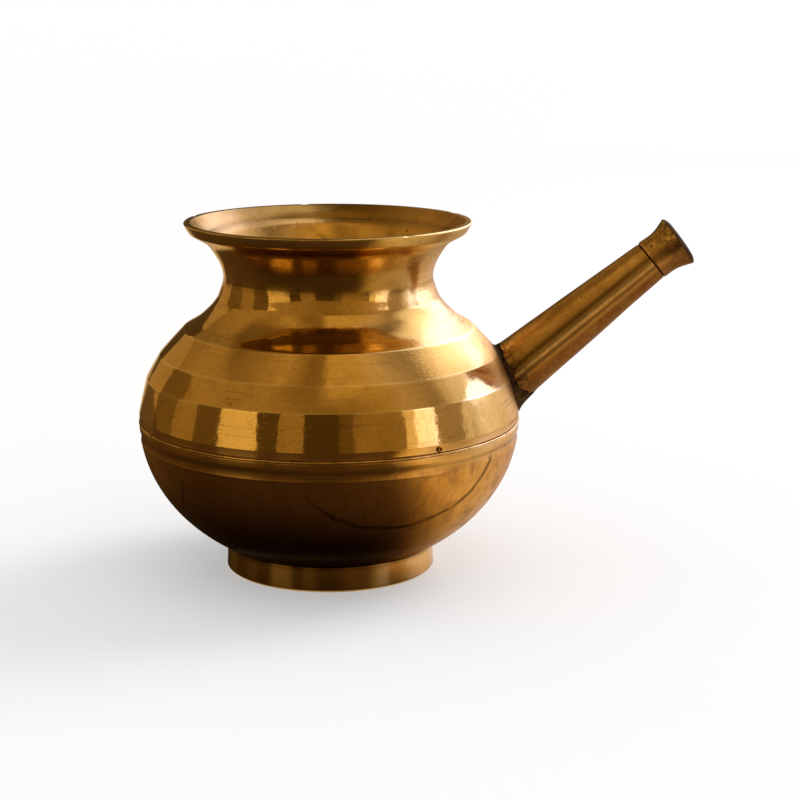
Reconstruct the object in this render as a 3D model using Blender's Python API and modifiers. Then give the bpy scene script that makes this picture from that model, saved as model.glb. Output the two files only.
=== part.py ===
"""Spouted brass water pot, modelled as the brazed assembly that it is made from.

Two cast and turned shells lap at the belly and are brazed together, a foot ring is brazed under the bowl,
and a tapered spout with a flared nozzle is soldered to the shoulder. Every piece is one closed solid, and
neighbours stand JOINT_GAP apart, which is the film of filler metal between them.
"""

import math

import bpy
from mathutils import Vector

MM = 0.001

# Driving dimensions in millimetres: heights from the table, radii from the pot's upright axis.
JOINT_GAP = 0.3
WALL = 2.6
VESSEL_STEPS = 56
SPOUT_STEPS = 32

# Belly seam and bowl: the bowl is half an ellipsoid hung from the seam.
BELLY_RADIUS = 82.4
SEAM_HEIGHT = 66.0
BOWL_DEPTH = 65.6
BASE_FLAT_RADIUS = 30.0
TONGUE_HEIGHT = 4.0
TONGUE_WIDTH = 1.1
SEAM_CHAMFER = 0.9
BRAZE_RADIUS = 82.7

# Turned line under the seam: a fine groove with a bead below it.
GROOVE_HEIGHT = 60.45
GROOVE_WIDTH = 1.6
GROOVE_DEPTH = 0.4
BEAD_HEIGHT = 58.7
BEAD_WIDTH = 1.8
BEAD_RISE = 0.3

# Shoulder: three crowned bands between turned edges, then a shallow cove above the seam.
SHOULDER_EDGES = [(62.7, 106.2), (72.9, 95.2), (78.7, 85.2), (82.3, 70.0)]
BAND_CROWN = 0.28
COVE_DEPTH = 0.25
COVE_FOOT = 67.1

# Neck and lip: the lip is a plain band, and the neck starts under its crisp lower edge.
NECK_STATIONS = [
    (58.9, 147.2),
    (52.7, 143.6),
    (49.7, 140.2),
    (46.3, 134.2),
    (45.0, 128.0),
    (47.0, 121.2),
    (51.1, 114.3),
    (56.8, 109.8),
    (62.7, 106.2),
]
RIM_HEIGHT = 152.0
RIM_OUTER_RADIUS = 61.6
RIM_FLAT = (58.9, 61.1)
RIM_EDGE_DROP = 0.7
LIP_FOOT = (59.4, 147.7)
LIP_CROWN = 0.15
LIP_INNER_FOOT = (52.6, 146.6)

# Foot ring.
FOOT_RADIUS = 45.4
FOOT_WALL = 3.3
FOOT_EDGE = 0.8
FOOT_FILLET = 3.4

# Spout: its axis crosses the shoulder at the root point and rises towards the nozzle.
SPOUT_ROOT = (78.8, 84.8)
SPOUT_RISE = math.radians(39.2)
TUBE_LENGTH = 77.4
TUBE_ROOT_RADIUS = 13.35
TUBE_TIP_RADIUS = 8.9
TUBE_WALL = 2.0
ROOT_OVERRUN = 12.0
FEED_HOLE_RADIUS = 9.5
SOLDER_REACH = 4.5
SOLDER_TIP_WIDTH = 0.5
SOLDER_ROOT_WIDTH = 2.0

# Nozzle: the ring of filler sits in a groove between the tube's end and the nozzle's shoulder.
NOZZLE_RING_WIDTH = 0.8
NOZZLE_RING_RADIUS = 8.45
NOZZLE_LIP = (11.55, 91.9)
NOZZLE_FACE = [(8.7, 93.4), (10.4, 92.8)]
NOZZLE_FLARE = [NOZZLE_LIP, (10.9, 90.2), (9.7, 86.6), (9.2, 83.2), (9.25, 79.5)]
NOZZLE_BORE = [(5.2, 72.0), (5.4, 84.0), (6.2, 90.0), (7.5, 93.3)]
SPIGOT_RADIUS = 6.3

# The pot's axis is set so that the middle of the whole outline, spout included, is over the origin.
TIP_REACH = SPOUT_ROOT[0] + NOZZLE_LIP[1] * math.cos(SPOUT_RISE) + NOZZLE_LIP[0] * math.sin(SPOUT_RISE)
POT_AXIS_X = -(TIP_REACH - BRAZE_RADIUS) / 2

for leftover in list(bpy.data.objects):
    bpy.data.objects.remove(leftover, do_unlink=True)

pot = bpy.data.collections.new("spouted_water_pot")
cutters = bpy.data.collections.new("cutters")
for group in (pot, cutters):
    bpy.context.scene.collection.children.link(group)


def make_metal(name, colour, roughness):
    metal = bpy.data.materials.new(name)
    metal.use_nodes = True
    surface = metal.node_tree.nodes["Principled BSDF"]
    surface.inputs["Base Color"].default_value = (*colour, 1.0)
    surface.inputs["Roughness"].default_value = roughness
    surface.inputs["Metallic"].default_value = 1.0
    return metal


def crowned(start, end, crown, count):
    """Points after start, as far as end, on a shallow arc that stands crown proud of the straight line."""
    start, end = Vector(start), Vector(end)
    along = end - start
    outward = Vector((-along.y, along.x)).normalized()
    steps = [index / count for index in range(1, count + 1)]
    return [tuple(start + along * t + outward * (4 * crown * t * (1 - t))) for t in steps]


def smooth_through(stations, per_span):
    """A smooth curve that passes through every station, with per_span points for each stretch."""
    knots = [Vector(station) for station in stations]
    knots = [2 * knots[0] - knots[1]] + knots + [2 * knots[-1] - knots[-2]]
    curve = []
    for before, here, there, after in zip(knots, knots[1:], knots[2:], knots[3:]):
        for index in range(per_span):
            t = index / per_span
            bend = (there - before) * t + (2 * before - 5 * here + 4 * there - after) * t**2
            bend += (3 * here - before - 3 * there + after) * t**3
            curve.append(tuple(here + bend / 2))
    return curve + [tuple(knots[-2])]


def inset(profile, depth):
    """The same line moved depth towards the inside of the wall."""
    points = [Vector(point) for point in profile]
    moved = []
    for index, point in enumerate(points):
        along = points[min(index + 1, len(points) - 1)] - points[max(index - 1, 0)]
        outward = Vector((-along.y, along.x)).normalized()
        moved.append(tuple(point - outward * depth))
    return moved


def bowl_line(depth, from_radius, to_radius, count):
    """Points on the bowl's ellipse, depth inside its outer face, from one radius to another."""
    wide, tall = BELLY_RADIUS - depth, BOWL_DEPTH - depth
    first, last = math.acos(from_radius / wide), math.acos(to_radius / wide)
    turns = [first + (last - first) * index / count for index in range(count + 1)]
    return [(wide * math.cos(turn), SEAM_HEIGHT - tall * math.sin(turn)) for turn in turns]


def bowl_radius(height):
    return BELLY_RADIUS * math.sqrt(1 - ((SEAM_HEIGHT - height) / BOWL_DEPTH) ** 2)


def bowl_height(radius):
    return SEAM_HEIGHT - BOWL_DEPTH * math.sqrt(1 - (radius / BELLY_RADIUS) ** 2)


def tube_radius(along):
    return TUBE_ROOT_RADIUS + (TUBE_TIP_RADIUS - TUBE_ROOT_RADIUS) * along / TUBE_LENGTH


def turned(name, profile, steps, axis, ring=True):
    """Turn a profile of (radius, height) points round an axis. A ring's profile closes on itself."""
    outline = bpy.data.meshes.new(name)
    corners = [(radius * MM, 0.0, height * MM) for radius, height in profile]
    edges = [(index, index + 1) for index in range(len(corners) - 1)]
    if ring:
        edges.append((len(corners) - 1, 0))
    outline.from_pydata(corners, edges, [])
    piece = bpy.data.objects.new(name, outline)
    piece.parent = axis
    pot.objects.link(piece)
    turn = piece.modifiers.new("turn", "SCREW")
    turn.axis = "Z"
    turn.steps = steps
    turn.render_steps = steps
    turn.use_merge_vertices = True
    turn.merge_threshold = 0.00001
    shaped = piece.evaluated_get(bpy.context.evaluated_depsgraph_get())
    solid = bpy.data.meshes.new_from_object(shaped)
    piece.modifiers.clear()
    piece.data = solid
    solid.shade_smooth()
    solid.set_sharp_from_angle(angle=math.radians(28))
    return piece


def as_cutter(piece):
    piece.hide_render = True
    piece.display_type = "WIRE"
    pot.objects.unlink(piece)
    cutters.objects.link(piece)
    return piece


def cut(piece, cutter):
    trim = piece.modifiers.new("cut_by_" + cutter.name, "BOOLEAN")
    trim.operation = "DIFFERENCE"
    trim.solver = "EXACT"
    trim.object = cutter


def finish(piece, metal):
    piece.data.materials.clear()
    piece.data.materials.append(metal)


def make_axis(name, place, tilt, parent=None):
    axis = bpy.data.objects.new(name, None)
    axis.location = Vector(place) * MM
    axis.rotation_euler = (0.0, tilt, 0.0)
    axis.parent = parent
    pot.objects.link(axis)
    return axis


pot_axis = make_axis("pot_axis", (POT_AXIS_X, 0.0, 0.0), 0.0)
spout_axis = make_axis(
    "spout_axis", (SPOUT_ROOT[0], 0.0, SPOUT_ROOT[1]), math.pi / 2 - SPOUT_RISE, pot_axis
)

polished_brass = make_metal("polished_brass", (0.66, 0.42, 0.14), 0.22)
aged_brass = make_metal("aged_brass", (0.36, 0.22, 0.09), 0.36)
dark_filler = make_metal("dark_filler", (0.10, 0.07, 0.04), 0.62)

# Outline of the shoulder bands, used outside, inside and for the clearance that the spout is cut to.
neck_line = smooth_through(NECK_STATIONS, 2)
shoulder_line = []
for upper_edge, lower_edge in zip(SHOULDER_EDGES, SHOULDER_EDGES[1:]):
    shoulder_line += crowned(upper_edge, lower_edge, BAND_CROWN, 3)


def make_upper_body():
    """Lip, neck and shoulder, rebated inside its lower edge for the bowl's tongue."""
    edge_radius, edge_height = SHOULDER_EDGES[-1]
    rebate_radius = BELLY_RADIUS - WALL + TONGUE_WIDTH + JOINT_GAP
    rebate_top = SEAM_HEIGHT + TONGUE_HEIGHT + JOINT_GAP
    seat = SEAM_HEIGHT + JOINT_GAP / 2
    seat_radius = BELLY_RADIUS - SEAM_CHAMFER
    lip_edge = (RIM_OUTER_RADIUS, RIM_HEIGHT - RIM_EDGE_DROP)
    lip = [(RIM_FLAT[1], RIM_HEIGHT), lip_edge] + crowned(lip_edge, LIP_FOOT, LIP_CROWN, 4)
    cove = [
        (edge_radius - COVE_DEPTH, edge_height - COVE_DEPTH),
        (edge_radius - COVE_DEPTH / 2, COVE_FOOT + COVE_DEPTH),
        (BELLY_RADIUS, COVE_FOOT),
    ]
    rebate = [(seat_radius, seat), (rebate_radius, seat), (rebate_radius, rebate_top)]
    plain_wall = neck_line[2::2] + shoulder_line[2::3]
    inner = [point for point in inset(plain_wall, WALL) if point[1] > rebate_top]
    inner_foot = (BELLY_RADIUS - WALL, rebate_top)
    mouth = [LIP_INNER_FOOT, (RIM_FLAT[0], RIM_HEIGHT)]
    profile = lip + neck_line + shoulder_line + cove + rebate + [inner_foot] + inner[::-1] + mouth
    body = turned("upper_body", profile, VESSEL_STEPS, pot_axis)
    feed = [(0.0, ROOT_OVERRUN), (FEED_HOLE_RADIUS, ROOT_OVERRUN)]
    feed += [(FEED_HOLE_RADIUS, -2 * ROOT_OVERRUN), (0.0, -2 * ROOT_OVERRUN)]
    cut(body, as_cutter(turned("spout_feed_hole", feed, SPOUT_STEPS, spout_axis, ring=False)))
    finish(body, polished_brass)


def make_lower_bowl():
    """Half-ellipsoid bowl, flattened under the foot, with a tongue that laps inside the upper body."""
    seat = SEAM_HEIGHT - JOINT_GAP / 2
    tongue_radius = BELLY_RADIUS - WALL + TONGUE_WIDTH
    tongue_top = SEAM_HEIGHT + TONGUE_HEIGHT
    inside = bowl_line(WALL, BASE_FLAT_RADIUS, BELLY_RADIUS - WALL, 8)
    tongue = [(BELLY_RADIUS - WALL, tongue_top), (tongue_radius, tongue_top), (tongue_radius, seat)]
    shoulder = [(BELLY_RADIUS - SEAM_CHAMFER, seat), (BELLY_RADIUS, seat - SEAM_CHAMFER)]
    half, flat = GROOVE_WIDTH / 2, GROOVE_WIDTH / 4
    groove = [
        (bowl_radius(GROOVE_HEIGHT + half), GROOVE_HEIGHT + half),
        (bowl_radius(GROOVE_HEIGHT + flat) - GROOVE_DEPTH, GROOVE_HEIGHT + flat),
        (bowl_radius(GROOVE_HEIGHT - flat) - GROOVE_DEPTH, GROOVE_HEIGHT - flat),
        (bowl_radius(GROOVE_HEIGHT - half), GROOVE_HEIGHT - half),
    ]
    bead_foot = BEAD_HEIGHT - BEAD_WIDTH / 2
    bead = [(bowl_radius(BEAD_HEIGHT) + BEAD_RISE, BEAD_HEIGHT)]
    outside = bowl_line(0.0, bowl_radius(bead_foot), BASE_FLAT_RADIUS, 10)
    profile = [(0.0, inside[0][1])] + inside + tongue + shoulder + groove + bead + outside
    profile.append((0.0, outside[-1][1]))
    finish(turned("lower_bowl", profile, VESSEL_STEPS, pot_axis, ring=False), aged_brass)


def make_belly_braze():
    """Bead of filler in the V groove of the belly seam, a little proud of both shells."""
    inner, outer = BELLY_RADIUS - SEAM_CHAMFER + JOINT_GAP, BRAZE_RADIUS
    half = SEAM_CHAMFER * 0.7
    section = [
        (inner, 0.0),
        (BELLY_RADIUS, half),
        (outer - JOINT_GAP / 3, half * 0.7),
        (outer, 0.0),
        (outer - JOINT_GAP / 3, -half * 0.7),
        (BELLY_RADIUS, -half),
    ]
    profile = [(radius, SEAM_HEIGHT + rise) for radius, rise in section]
    finish(turned("belly_braze", profile, VESSEL_STEPS, pot_axis), polished_brass)


def make_foot():
    """Foot ring with its top coped to the bowl, and the fillet of filler inside it."""
    inner = FOOT_RADIUS - FOOT_WALL
    clearance = 1.4 * JOINT_GAP
    ring = [
        (FOOT_RADIUS, bowl_height(FOOT_RADIUS) - clearance),
        (FOOT_RADIUS, 3 * FOOT_EDGE),
        (FOOT_RADIUS - FOOT_EDGE / 3, FOOT_EDGE),
        (FOOT_RADIUS - FOOT_EDGE, 0.0),
        (inner + FOOT_EDGE, 0.0),
        (inner, FOOT_EDGE),
        (inner, bowl_height(inner) - clearance),
    ]
    finish(turned("foot_ring", ring, VESSEL_STEPS, pot_axis), polished_brass)
    wall = inner - JOINT_GAP
    toe = wall - FOOT_FILLET
    fillet = [
        (wall, bowl_height(wall) - clearance),
        (wall, bowl_height(wall) - FOOT_FILLET),
        (wall - FOOT_FILLET / 3, bowl_height(wall) - FOOT_FILLET * 0.6),
        (toe, bowl_height(toe) - 2 * clearance),
        (toe, bowl_height(toe) - clearance),
    ]
    finish(turned("foot_braze", fillet, VESSEL_STEPS, pot_axis), dark_filler)


def make_body_clearance():
    """The vessel's outer form, a joint gap larger: the spout's root is cut to it."""
    outer = inset(neck_line + shoulder_line + bowl_line(0.0, bowl_radius(COVE_FOOT - 2.0), 40.0, 8), -JOINT_GAP)
    solid = [(0.0, outer[0][1])] + outer + [(0.0, outer[-1][1])]
    return as_cutter(turned("body_clearance", solid, VESSEL_STEPS, pot_axis, ring=False))


def make_spout(body_clearance):
    """Tapered tube and its solder collar, both cut to the shoulder, and the nozzle with its filler ring."""
    start = -ROOT_OVERRUN
    tube = [
        (TUBE_TIP_RADIUS, TUBE_LENGTH),
        (tube_radius(start), start),
        (tube_radius(start) - TUBE_WALL, start),
        (TUBE_TIP_RADIUS - TUBE_WALL, TUBE_LENGTH),
    ]
    spout_tube = turned("spout_tube", tube, SPOUT_STEPS, spout_axis)
    cut(spout_tube, body_clearance)
    finish(spout_tube, aged_brass)

    solder = [
        (tube_radius(SOLDER_REACH) + JOINT_GAP + SOLDER_TIP_WIDTH, SOLDER_REACH),
        (tube_radius(0.0) + JOINT_GAP + (SOLDER_TIP_WIDTH + SOLDER_ROOT_WIDTH) / 2, 0.0),
        (tube_radius(start) + JOINT_GAP + SOLDER_ROOT_WIDTH, start),
        (tube_radius(start) + JOINT_GAP, start),
        (tube_radius(SOLDER_REACH) + JOINT_GAP, SOLDER_REACH),
    ]
    spout_solder = turned("spout_solder", solder, SPOUT_STEPS, spout_axis)
    cut(spout_solder, body_clearance)
    finish(spout_solder, dark_filler)

    ring_start = TUBE_LENGTH + JOINT_GAP
    ring_end = ring_start + NOZZLE_RING_WIDTH
    bore = SPIGOT_RADIUS + JOINT_GAP
    ring = [
        (NOZZLE_RING_RADIUS, ring_end),
        (NOZZLE_RING_RADIUS, ring_start),
        (bore, ring_start),
        (bore, ring_end),
    ]
    finish(turned("nozzle_solder", ring, SPOUT_STEPS, spout_axis), dark_filler)

    shoulder = ring_end + JOINT_GAP
    neck = smooth_through(NOZZLE_FLARE, 2)
    spigot = [
        (NOZZLE_RING_RADIUS, shoulder),
        (SPIGOT_RADIUS, shoulder),
        (SPIGOT_RADIUS, NOZZLE_BORE[0][1]),
    ]
    nozzle = turned("spout_nozzle", NOZZLE_FACE + neck + spigot + NOZZLE_BORE, SPOUT_STEPS, spout_axis)
    finish(nozzle, aged_brass)


make_upper_body()
make_lower_bowl()
make_belly_braze()
make_foot()
make_spout(make_body_clearance())
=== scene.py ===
# %% [markdown]
# # A spouted brass water pot
# This lesson dresses a brass pot whose solids are already packed as a fixed frame. The pot was cast in
# two shells that are brazed together at the belly. A foot ring and a spout were soldered on afterwards.
# Almost every piece was turned on a lathe, so almost every piece here starts as half an outline and is
# spun round an axis.

# %% Load the fixed frame and measure it
import math

import bmesh
import bpy
from mathutils import Matrix, Vector, noise
from mathutils.bvhtree import BVHTree


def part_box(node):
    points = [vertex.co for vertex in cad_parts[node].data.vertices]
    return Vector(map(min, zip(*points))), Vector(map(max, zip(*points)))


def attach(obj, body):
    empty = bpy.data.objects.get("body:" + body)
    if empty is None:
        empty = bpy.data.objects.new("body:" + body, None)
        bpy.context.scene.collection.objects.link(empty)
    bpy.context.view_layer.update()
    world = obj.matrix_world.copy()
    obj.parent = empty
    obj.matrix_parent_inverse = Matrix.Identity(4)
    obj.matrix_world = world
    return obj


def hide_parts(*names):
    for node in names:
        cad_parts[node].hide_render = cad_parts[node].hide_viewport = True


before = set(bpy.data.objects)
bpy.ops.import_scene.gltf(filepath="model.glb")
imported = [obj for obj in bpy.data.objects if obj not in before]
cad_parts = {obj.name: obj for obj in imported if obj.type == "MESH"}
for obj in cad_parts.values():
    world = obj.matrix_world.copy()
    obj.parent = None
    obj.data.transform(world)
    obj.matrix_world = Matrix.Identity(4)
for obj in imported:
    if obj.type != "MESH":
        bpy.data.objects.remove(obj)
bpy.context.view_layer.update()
MM = 0.001
foot_low, foot_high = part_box("foot_ring")
body_low, body_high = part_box("upper_body")
AXIS_X = (foot_low.x + foot_high.x) / 2
RIM_HEIGHT = body_high.z / MM
BELLY_RADIUS = (body_high.x - body_low.x) / 2 / MM
print("pot axis at x =", round(AXIS_X / MM, 2), "mm, rim at", round(RIM_HEIGHT, 1), "mm")

# %% [markdown]
# ## The camera
# The ellipses of the rim, the belly and the foot open up in step with how far above them the camera
# stands, so they give its height and tilt. The camera comes first, because every later choice is judged
# through it. It is turned a little to the right to take in the spout, and no lens shift is used, so other
# views stay centred.

# %% Stand the camera
CAMERA_AWAY = 0.886
CAMERA_HEIGHT = 0.274
CAMERA_TILT = math.radians(12.77)
CAMERA_TURN = math.radians(1.99)
CAMERA_LENS = 93.8

camera_data = bpy.data.cameras.new("camera")
camera_data.sensor_width = 36.0
camera_data.lens = CAMERA_LENS
camera = bpy.data.objects.new("camera", camera_data)
camera.location = (AXIS_X, -CAMERA_AWAY, CAMERA_HEIGHT)
camera.rotation_euler = (math.pi / 2 - CAMERA_TILT, 0.0, -CAMERA_TURN)
bpy.context.scene.collection.objects.link(camera)
bpy.context.scene.camera = camera
print("camera", [round(value, 3) for value in camera.location])

# %% [markdown]
# ## Outlines
# A lathe follows an outline, so the outlines are the real drawing here. Points are (radius, height) in
# millimetres. A stretch between two turned edges gets its points packed closer near its ends: smooth
# shading then bends only beside the edge and leaves the middle of the band clean. The sharp corners are
# rounded afterwards with a bevel on the outline's own vertices, which is cheaper than a bevel on the
# finished solid.

# %% Curves for an outline


def eased(count):
    """Steps from 0 to 1, with 0 left out, that crowd towards both ends."""
    return [(1 - math.cos(math.pi * index / count)) / 2 for index in range(1, count + 1)]


def crowned(start, end, crown=0.0, count=12):
    """Points after start, as far as end, on a shallow arc that stands crown proud of the straight line."""
    start, end = Vector(start), Vector(end)
    along = end - start
    outward = Vector((-along.y, along.x)).normalized()
    return [tuple(start + along * t + outward * (4 * crown * t * (1 - t))) for t in eased(count)]


def smooth_through(stations, per_span=6):
    """A smooth curve that passes through every station."""
    knots = [Vector(station) for station in stations]
    knots = [2 * knots[0] - knots[1]] + knots + [2 * knots[-1] - knots[-2]]
    curve = []
    for before, here, there, after in zip(knots, knots[1:], knots[2:], knots[3:]):
        for index in range(per_span):
            t = index / per_span
            bend = (there - before) * t + (2 * before - 5 * here + 4 * there - after) * t**2
            bend += (3 * here - before - 3 * there + after) * t**3
            curve.append(tuple(here + bend / 2))
    return curve + [tuple(knots[-2])]


def inset(outline, depth):
    """The same line moved depth into the wall."""
    points = [Vector(point) for point in outline]
    moved = []
    for index, point in enumerate(points):
        along = points[min(index + 1, len(points) - 1)] - points[max(index - 1, 0)]
        outward = Vector((-along.y, along.x)).normalized()
        moved.append(tuple(point - outward * depth))
    return moved


print("four eased steps:", [round(step, 2) for step in eased(4)])

# %% Spin an outline
MERGE_DISTANCE = 0.002 * MM


def join_up(shape, places, ring=False):
    """Join places into one line, or into a ring, and return its vertices."""
    verts = [shape.verts.new(place) for place in places]
    loop = verts + verts[:1] if ring else verts
    for pair in zip(loop, loop[1:]):
        shape.edges.new(pair)
    return verts


def spin_round(shape, axis_x, angle, steps, merge):
    """Spin all that a bmesh holds round an upright axis."""
    bmesh.ops.spin(
        shape, geom=shape.verts[:] + shape.edges[:], cent=(axis_x, 0.0, 0.0), axis=(0.0, 0.0, 1.0),
        dvec=(0.0, 0.0, 0.0), angle=angle, steps=steps, use_merge=merge, use_duplicate=False,
    )


def turn_outline(outline, steps, corners=(), rounding=0.2, ring=True, axis_x=AXIS_X):
    """Spin an outline round an upright axis and return the closed shape as a bmesh."""
    shape = bmesh.new()
    verts = join_up(shape, [(axis_x + radius * MM, 0.0, height * MM) for radius, height in outline], ring)
    sharp = [vert for vert, point in zip(verts, outline) if point in corners]
    if sharp:
        bmesh.ops.bevel(
            shape, geom=sharp, offset=rounding * MM, offset_type="OFFSET", segments=3, profile=0.5,
            affect="VERTICES", clamp_overlap=True, material=-1,
        )
    spin_round(shape, axis_x, 2 * math.pi, steps, True)
    bmesh.ops.remove_doubles(shape, verts=shape.verts, dist=MERGE_DISTANCE)
    bmesh.ops.recalc_face_normals(shape, faces=shape.faces)
    return shape


print("spun outlines are merged within", MERGE_DISTANCE / MM, "mm")

# %% [markdown]
# ## Lip, neck and shoulder
# The upper casting carries the flared lip, the waisted neck and three crowned bands between turned edges.
# It could be a lattice or a subdivided cage, but a lathe part is quickest and truest as a spun outline.
# The wall is thick enough to show at the rim, so the outline runs down the outside, round the hidden lap
# joint and up the inside again.

# %% Outline of the upper body
WALL = 2.6
SEAM_HEIGHT = 66.0
LAP_HEIGHT = 4.0
LAP_WIDTH = 1.4
JOINT_GAP = 0.3
VESSEL_STEPS = 360
INNER_WALL_TOP = 145.3
GROOVE_RADIUS = 81.6
RIM_INNER = (58.9, RIM_HEIGHT)
RIM_OUTER = (61.2, RIM_HEIGHT)
LIP_EDGE = (61.6, RIM_HEIGHT - 0.5)
LIP_FOOT = (59.4, 147.7)
LIP_INNER_FOOT = (52.6, 146.6)
NECK = [
    (58.9, 147.2),
    (52.7, 143.6),
    (49.7, 140.2),
    (46.3, 134.2),
    (45.0, 128.0),
    (47.0, 121.2),
    (48.35, 118.4),
    (51.5, 114.5),
    (56.8, 109.8),
    (62.7, 106.2),
]
BAND_EDGES = [(62.7, 106.2), (72.9, 95.2), (78.7, 85.2), (82.3, 70.0)]
BAND_CROWN = 0.1
SEAM_LIP = (82.3, 67.15)
SEAM_ROOT = (GROOVE_RADIUS, SEAM_HEIGHT + JOINT_GAP / 2)

neck_line = smooth_through(NECK)
band_line = []
for upper_edge, lower_edge in zip(BAND_EDGES, BAND_EDGES[1:]):
    band_line += crowned(upper_edge, lower_edge, BAND_CROWN)
lip_line = [RIM_INNER] + crowned(RIM_INNER, RIM_OUTER, count=4) + [LIP_EDGE]
lip_line += crowned(LIP_EDGE, LIP_FOOT, 0.12, 10)
strip_line = crowned(BAND_EDGES[-1], SEAM_LIP, -0.04, 8) + [SEAM_ROOT]
lap_radius = BELLY_RADIUS - WALL + LAP_WIDTH
lap_top = SEAM_HEIGHT + LAP_HEIGHT + JOINT_GAP
lap_line = [(lap_radius, SEAM_ROOT[1]), (lap_radius, lap_top), (BELLY_RADIUS - WALL, lap_top)]
inner_wall = inset(neck_line + band_line[2::3], WALL)
inner_wall = [point for point in inner_wall if lap_top + 1 < point[1] < INNER_WALL_TOP]
inner_lip = [LIP_INNER_FOOT] + crowned(LIP_INNER_FOOT, RIM_INNER, 0.25, 8)[:-1]
upper_outline = lip_line + neck_line + band_line + strip_line + lap_line + inner_wall[::-1] + inner_lip
print("upper outline has", len(upper_outline), "points")

# %% Spin the upper body
TURNED_EDGES = BAND_EDGES[:3] + [LIP_EDGE, LIP_FOOT, RIM_INNER, RIM_OUTER, SEAM_LIP]


def ripple(shape, height, wavelength, seed):
    """Give a hand-finished surface its slow waviness, so that reflections wander a little."""
    shape.normal_update()
    for vert in shape.verts:
        place = vert.co / (wavelength * MM) + Vector((seed, 0.0, 0.0))
        vert.co += vert.normal * (noise.noise(place) * height * MM)


upper_shape = turn_outline(upper_outline, VESSEL_STEPS, corners=TURNED_EDGES + [LIP_INNER_FOOT])
ripple(upper_shape, 0.06, 26.0, 3.0)
print("upper body spun:", len(upper_shape.verts), "vertices")

# %% [markdown]
# ## A knocked and leaning rim
# The rim of a used pot has small knocks. Each knock here is a soft dent that pushes nearby vertices in
# and down. A sculpt brush would do the same by hand, but a short list of places keeps the lesson
# repeatable. The whole lip also leans a little, which a lathe would never do.

# %% Knock the rim
RIM_NICKS = [(-58, 0.4), (-100, 0.25), (-141, 0.3), (25, 0.4), (100, 0.45), (162, 0.3)]
NICK_RADIUS = 61.3
NICK_WIDTH = 1.6
NICK_DROP = 0.6
NICK_REACH = 6


def round_pot(radius, turn, height):
    """The place at a radius, turn and height about the pot's axis, from millimetres and radians."""
    return Vector((AXIS_X + radius * MM * math.cos(turn), radius * MM * math.sin(turn), height * MM))


rim_verts = [vert for vert in upper_shape.verts if vert.co.z > (RIM_HEIGHT - NICK_REACH) * MM]
for nick_angle, nick_depth in RIM_NICKS:
    turn = math.radians(nick_angle)
    centre = round_pot(NICK_RADIUS, turn, RIM_HEIGHT)
    inward = Vector((-math.cos(turn), -math.sin(turn), -NICK_DROP))
    for vert in rim_verts:
        near = (vert.co - centre).length / MM
        if near < 3 * NICK_WIDTH:
            vert.co += inward * (nick_depth * MM * math.exp(-((near / NICK_WIDTH) ** 2)))
print(len(RIM_NICKS), "nicks in the rim")

# %% Lean the lip
# The lip is not quite square to the axis: its front stands a little higher than its back.
LIP_LEAN = 0.0125
LEAN_FROM, LEAN_TO = 116.0, 146.0


def step_up(value, low, high):
    """0 below low, 1 above high, and a smooth step between."""
    share = min(1.0, max(0.0, (value - low) / (high - low)))
    return share * share * (3 - 2 * share)


for vert in upper_shape.verts:
    vert.co.z -= vert.co.y * LIP_LEAN * step_up(vert.co.z / MM, LEAN_FROM, LEAN_TO)
print("lip leans", round(math.degrees(math.atan(LIP_LEAN)), 2), "degrees")

# %% [markdown]
# ## Marks for the finish
# Wear keeps to certain places on a pot: it is bright on the turned edges, darker in the corners, and
# different on the inner wall. The bright edges are partly wear and partly a painted highlight, and the dark
# corners partly dirt and partly painted shade. Weight painting could say where. Here every vertex works it
# out from its own place, so the marks stay right when the outline changes. The shape then becomes a piece
# that stands for its solid in the frame.

# %% Mark the upper body and make it a piece
INWARD_LIMIT = -0.12
DIRT_AND_SHADE_RINGS = [SEAM_ROOT, LIP_INNER_FOOT, (58.6, 147.0), (45.0, 127.4)]


def mark_rings(shape, name, rings, reach):
    """Store how near each vertex is to a set of (radius, height) rings, as an attribute for the finish."""
    layer = shape.verts.layers.float.new(name)
    for vert in shape.verts:
        radius = math.hypot(vert.co.x - AXIS_X, vert.co.y) / MM
        height = vert.co.z / MM
        near = min(math.hypot(radius - ring[0], height - ring[1]) for ring in rings)
        vert[layer] = math.exp(-((near / reach) ** 2))


def mark_inside(shape):
    """Store which vertices face the pot's own axis: the inner wall has a different finish."""
    shape.normal_update()
    layer = shape.verts.layers.float.new("inside")
    for vert in shape.verts:
        outward = Vector((vert.co.x - AXIS_X, vert.co.y, 0.0))
        vert[layer] = 1.0 if vert.normal.dot(outward.normalized()) < INWARD_LIMIT else 0.0


def into_object(shape, name):
    """Turn a bmesh into an object in the scene."""
    mesh = bpy.data.meshes.new(name)
    shape.to_mesh(mesh)
    shape.free()
    made = bpy.data.objects.new(name, mesh)
    bpy.context.scene.collection.objects.link(made)
    return made


def finish_piece(shape, name, node):
    """Turn a bmesh into a smooth piece that rides on the pot and stands for its CAD node."""
    piece = into_object(shape, name)
    piece.data.shade_smooth()
    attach(piece, "root")
    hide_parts(node)
    print(name, "has", len(piece.data.polygons), "faces")
    return piece


body_tree = BVHTree.FromBMesh(upper_shape)
# Bright edges are partly wear and partly a painted highlight; dark rings in the corners are partly dirt and
# partly painted shade.
mark_rings(upper_shape, "edge", TURNED_EDGES, 0.4)
mark_rings(upper_shape, "dirt_and_shade", DIRT_AND_SHADE_RINGS, 1.1)
mark_inside(upper_shape)
upper_body = finish_piece(upper_shape, "upper_body_shell", "upper_body")

# %% [markdown]
# ## The feed hole and the blow hole
# Water leaves through a round hole in the wall behind the spout, and a small gas bubble in the casting
# left a pit just above the seam. Both are cut with a Boolean, because neither follows the lathe.

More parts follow.
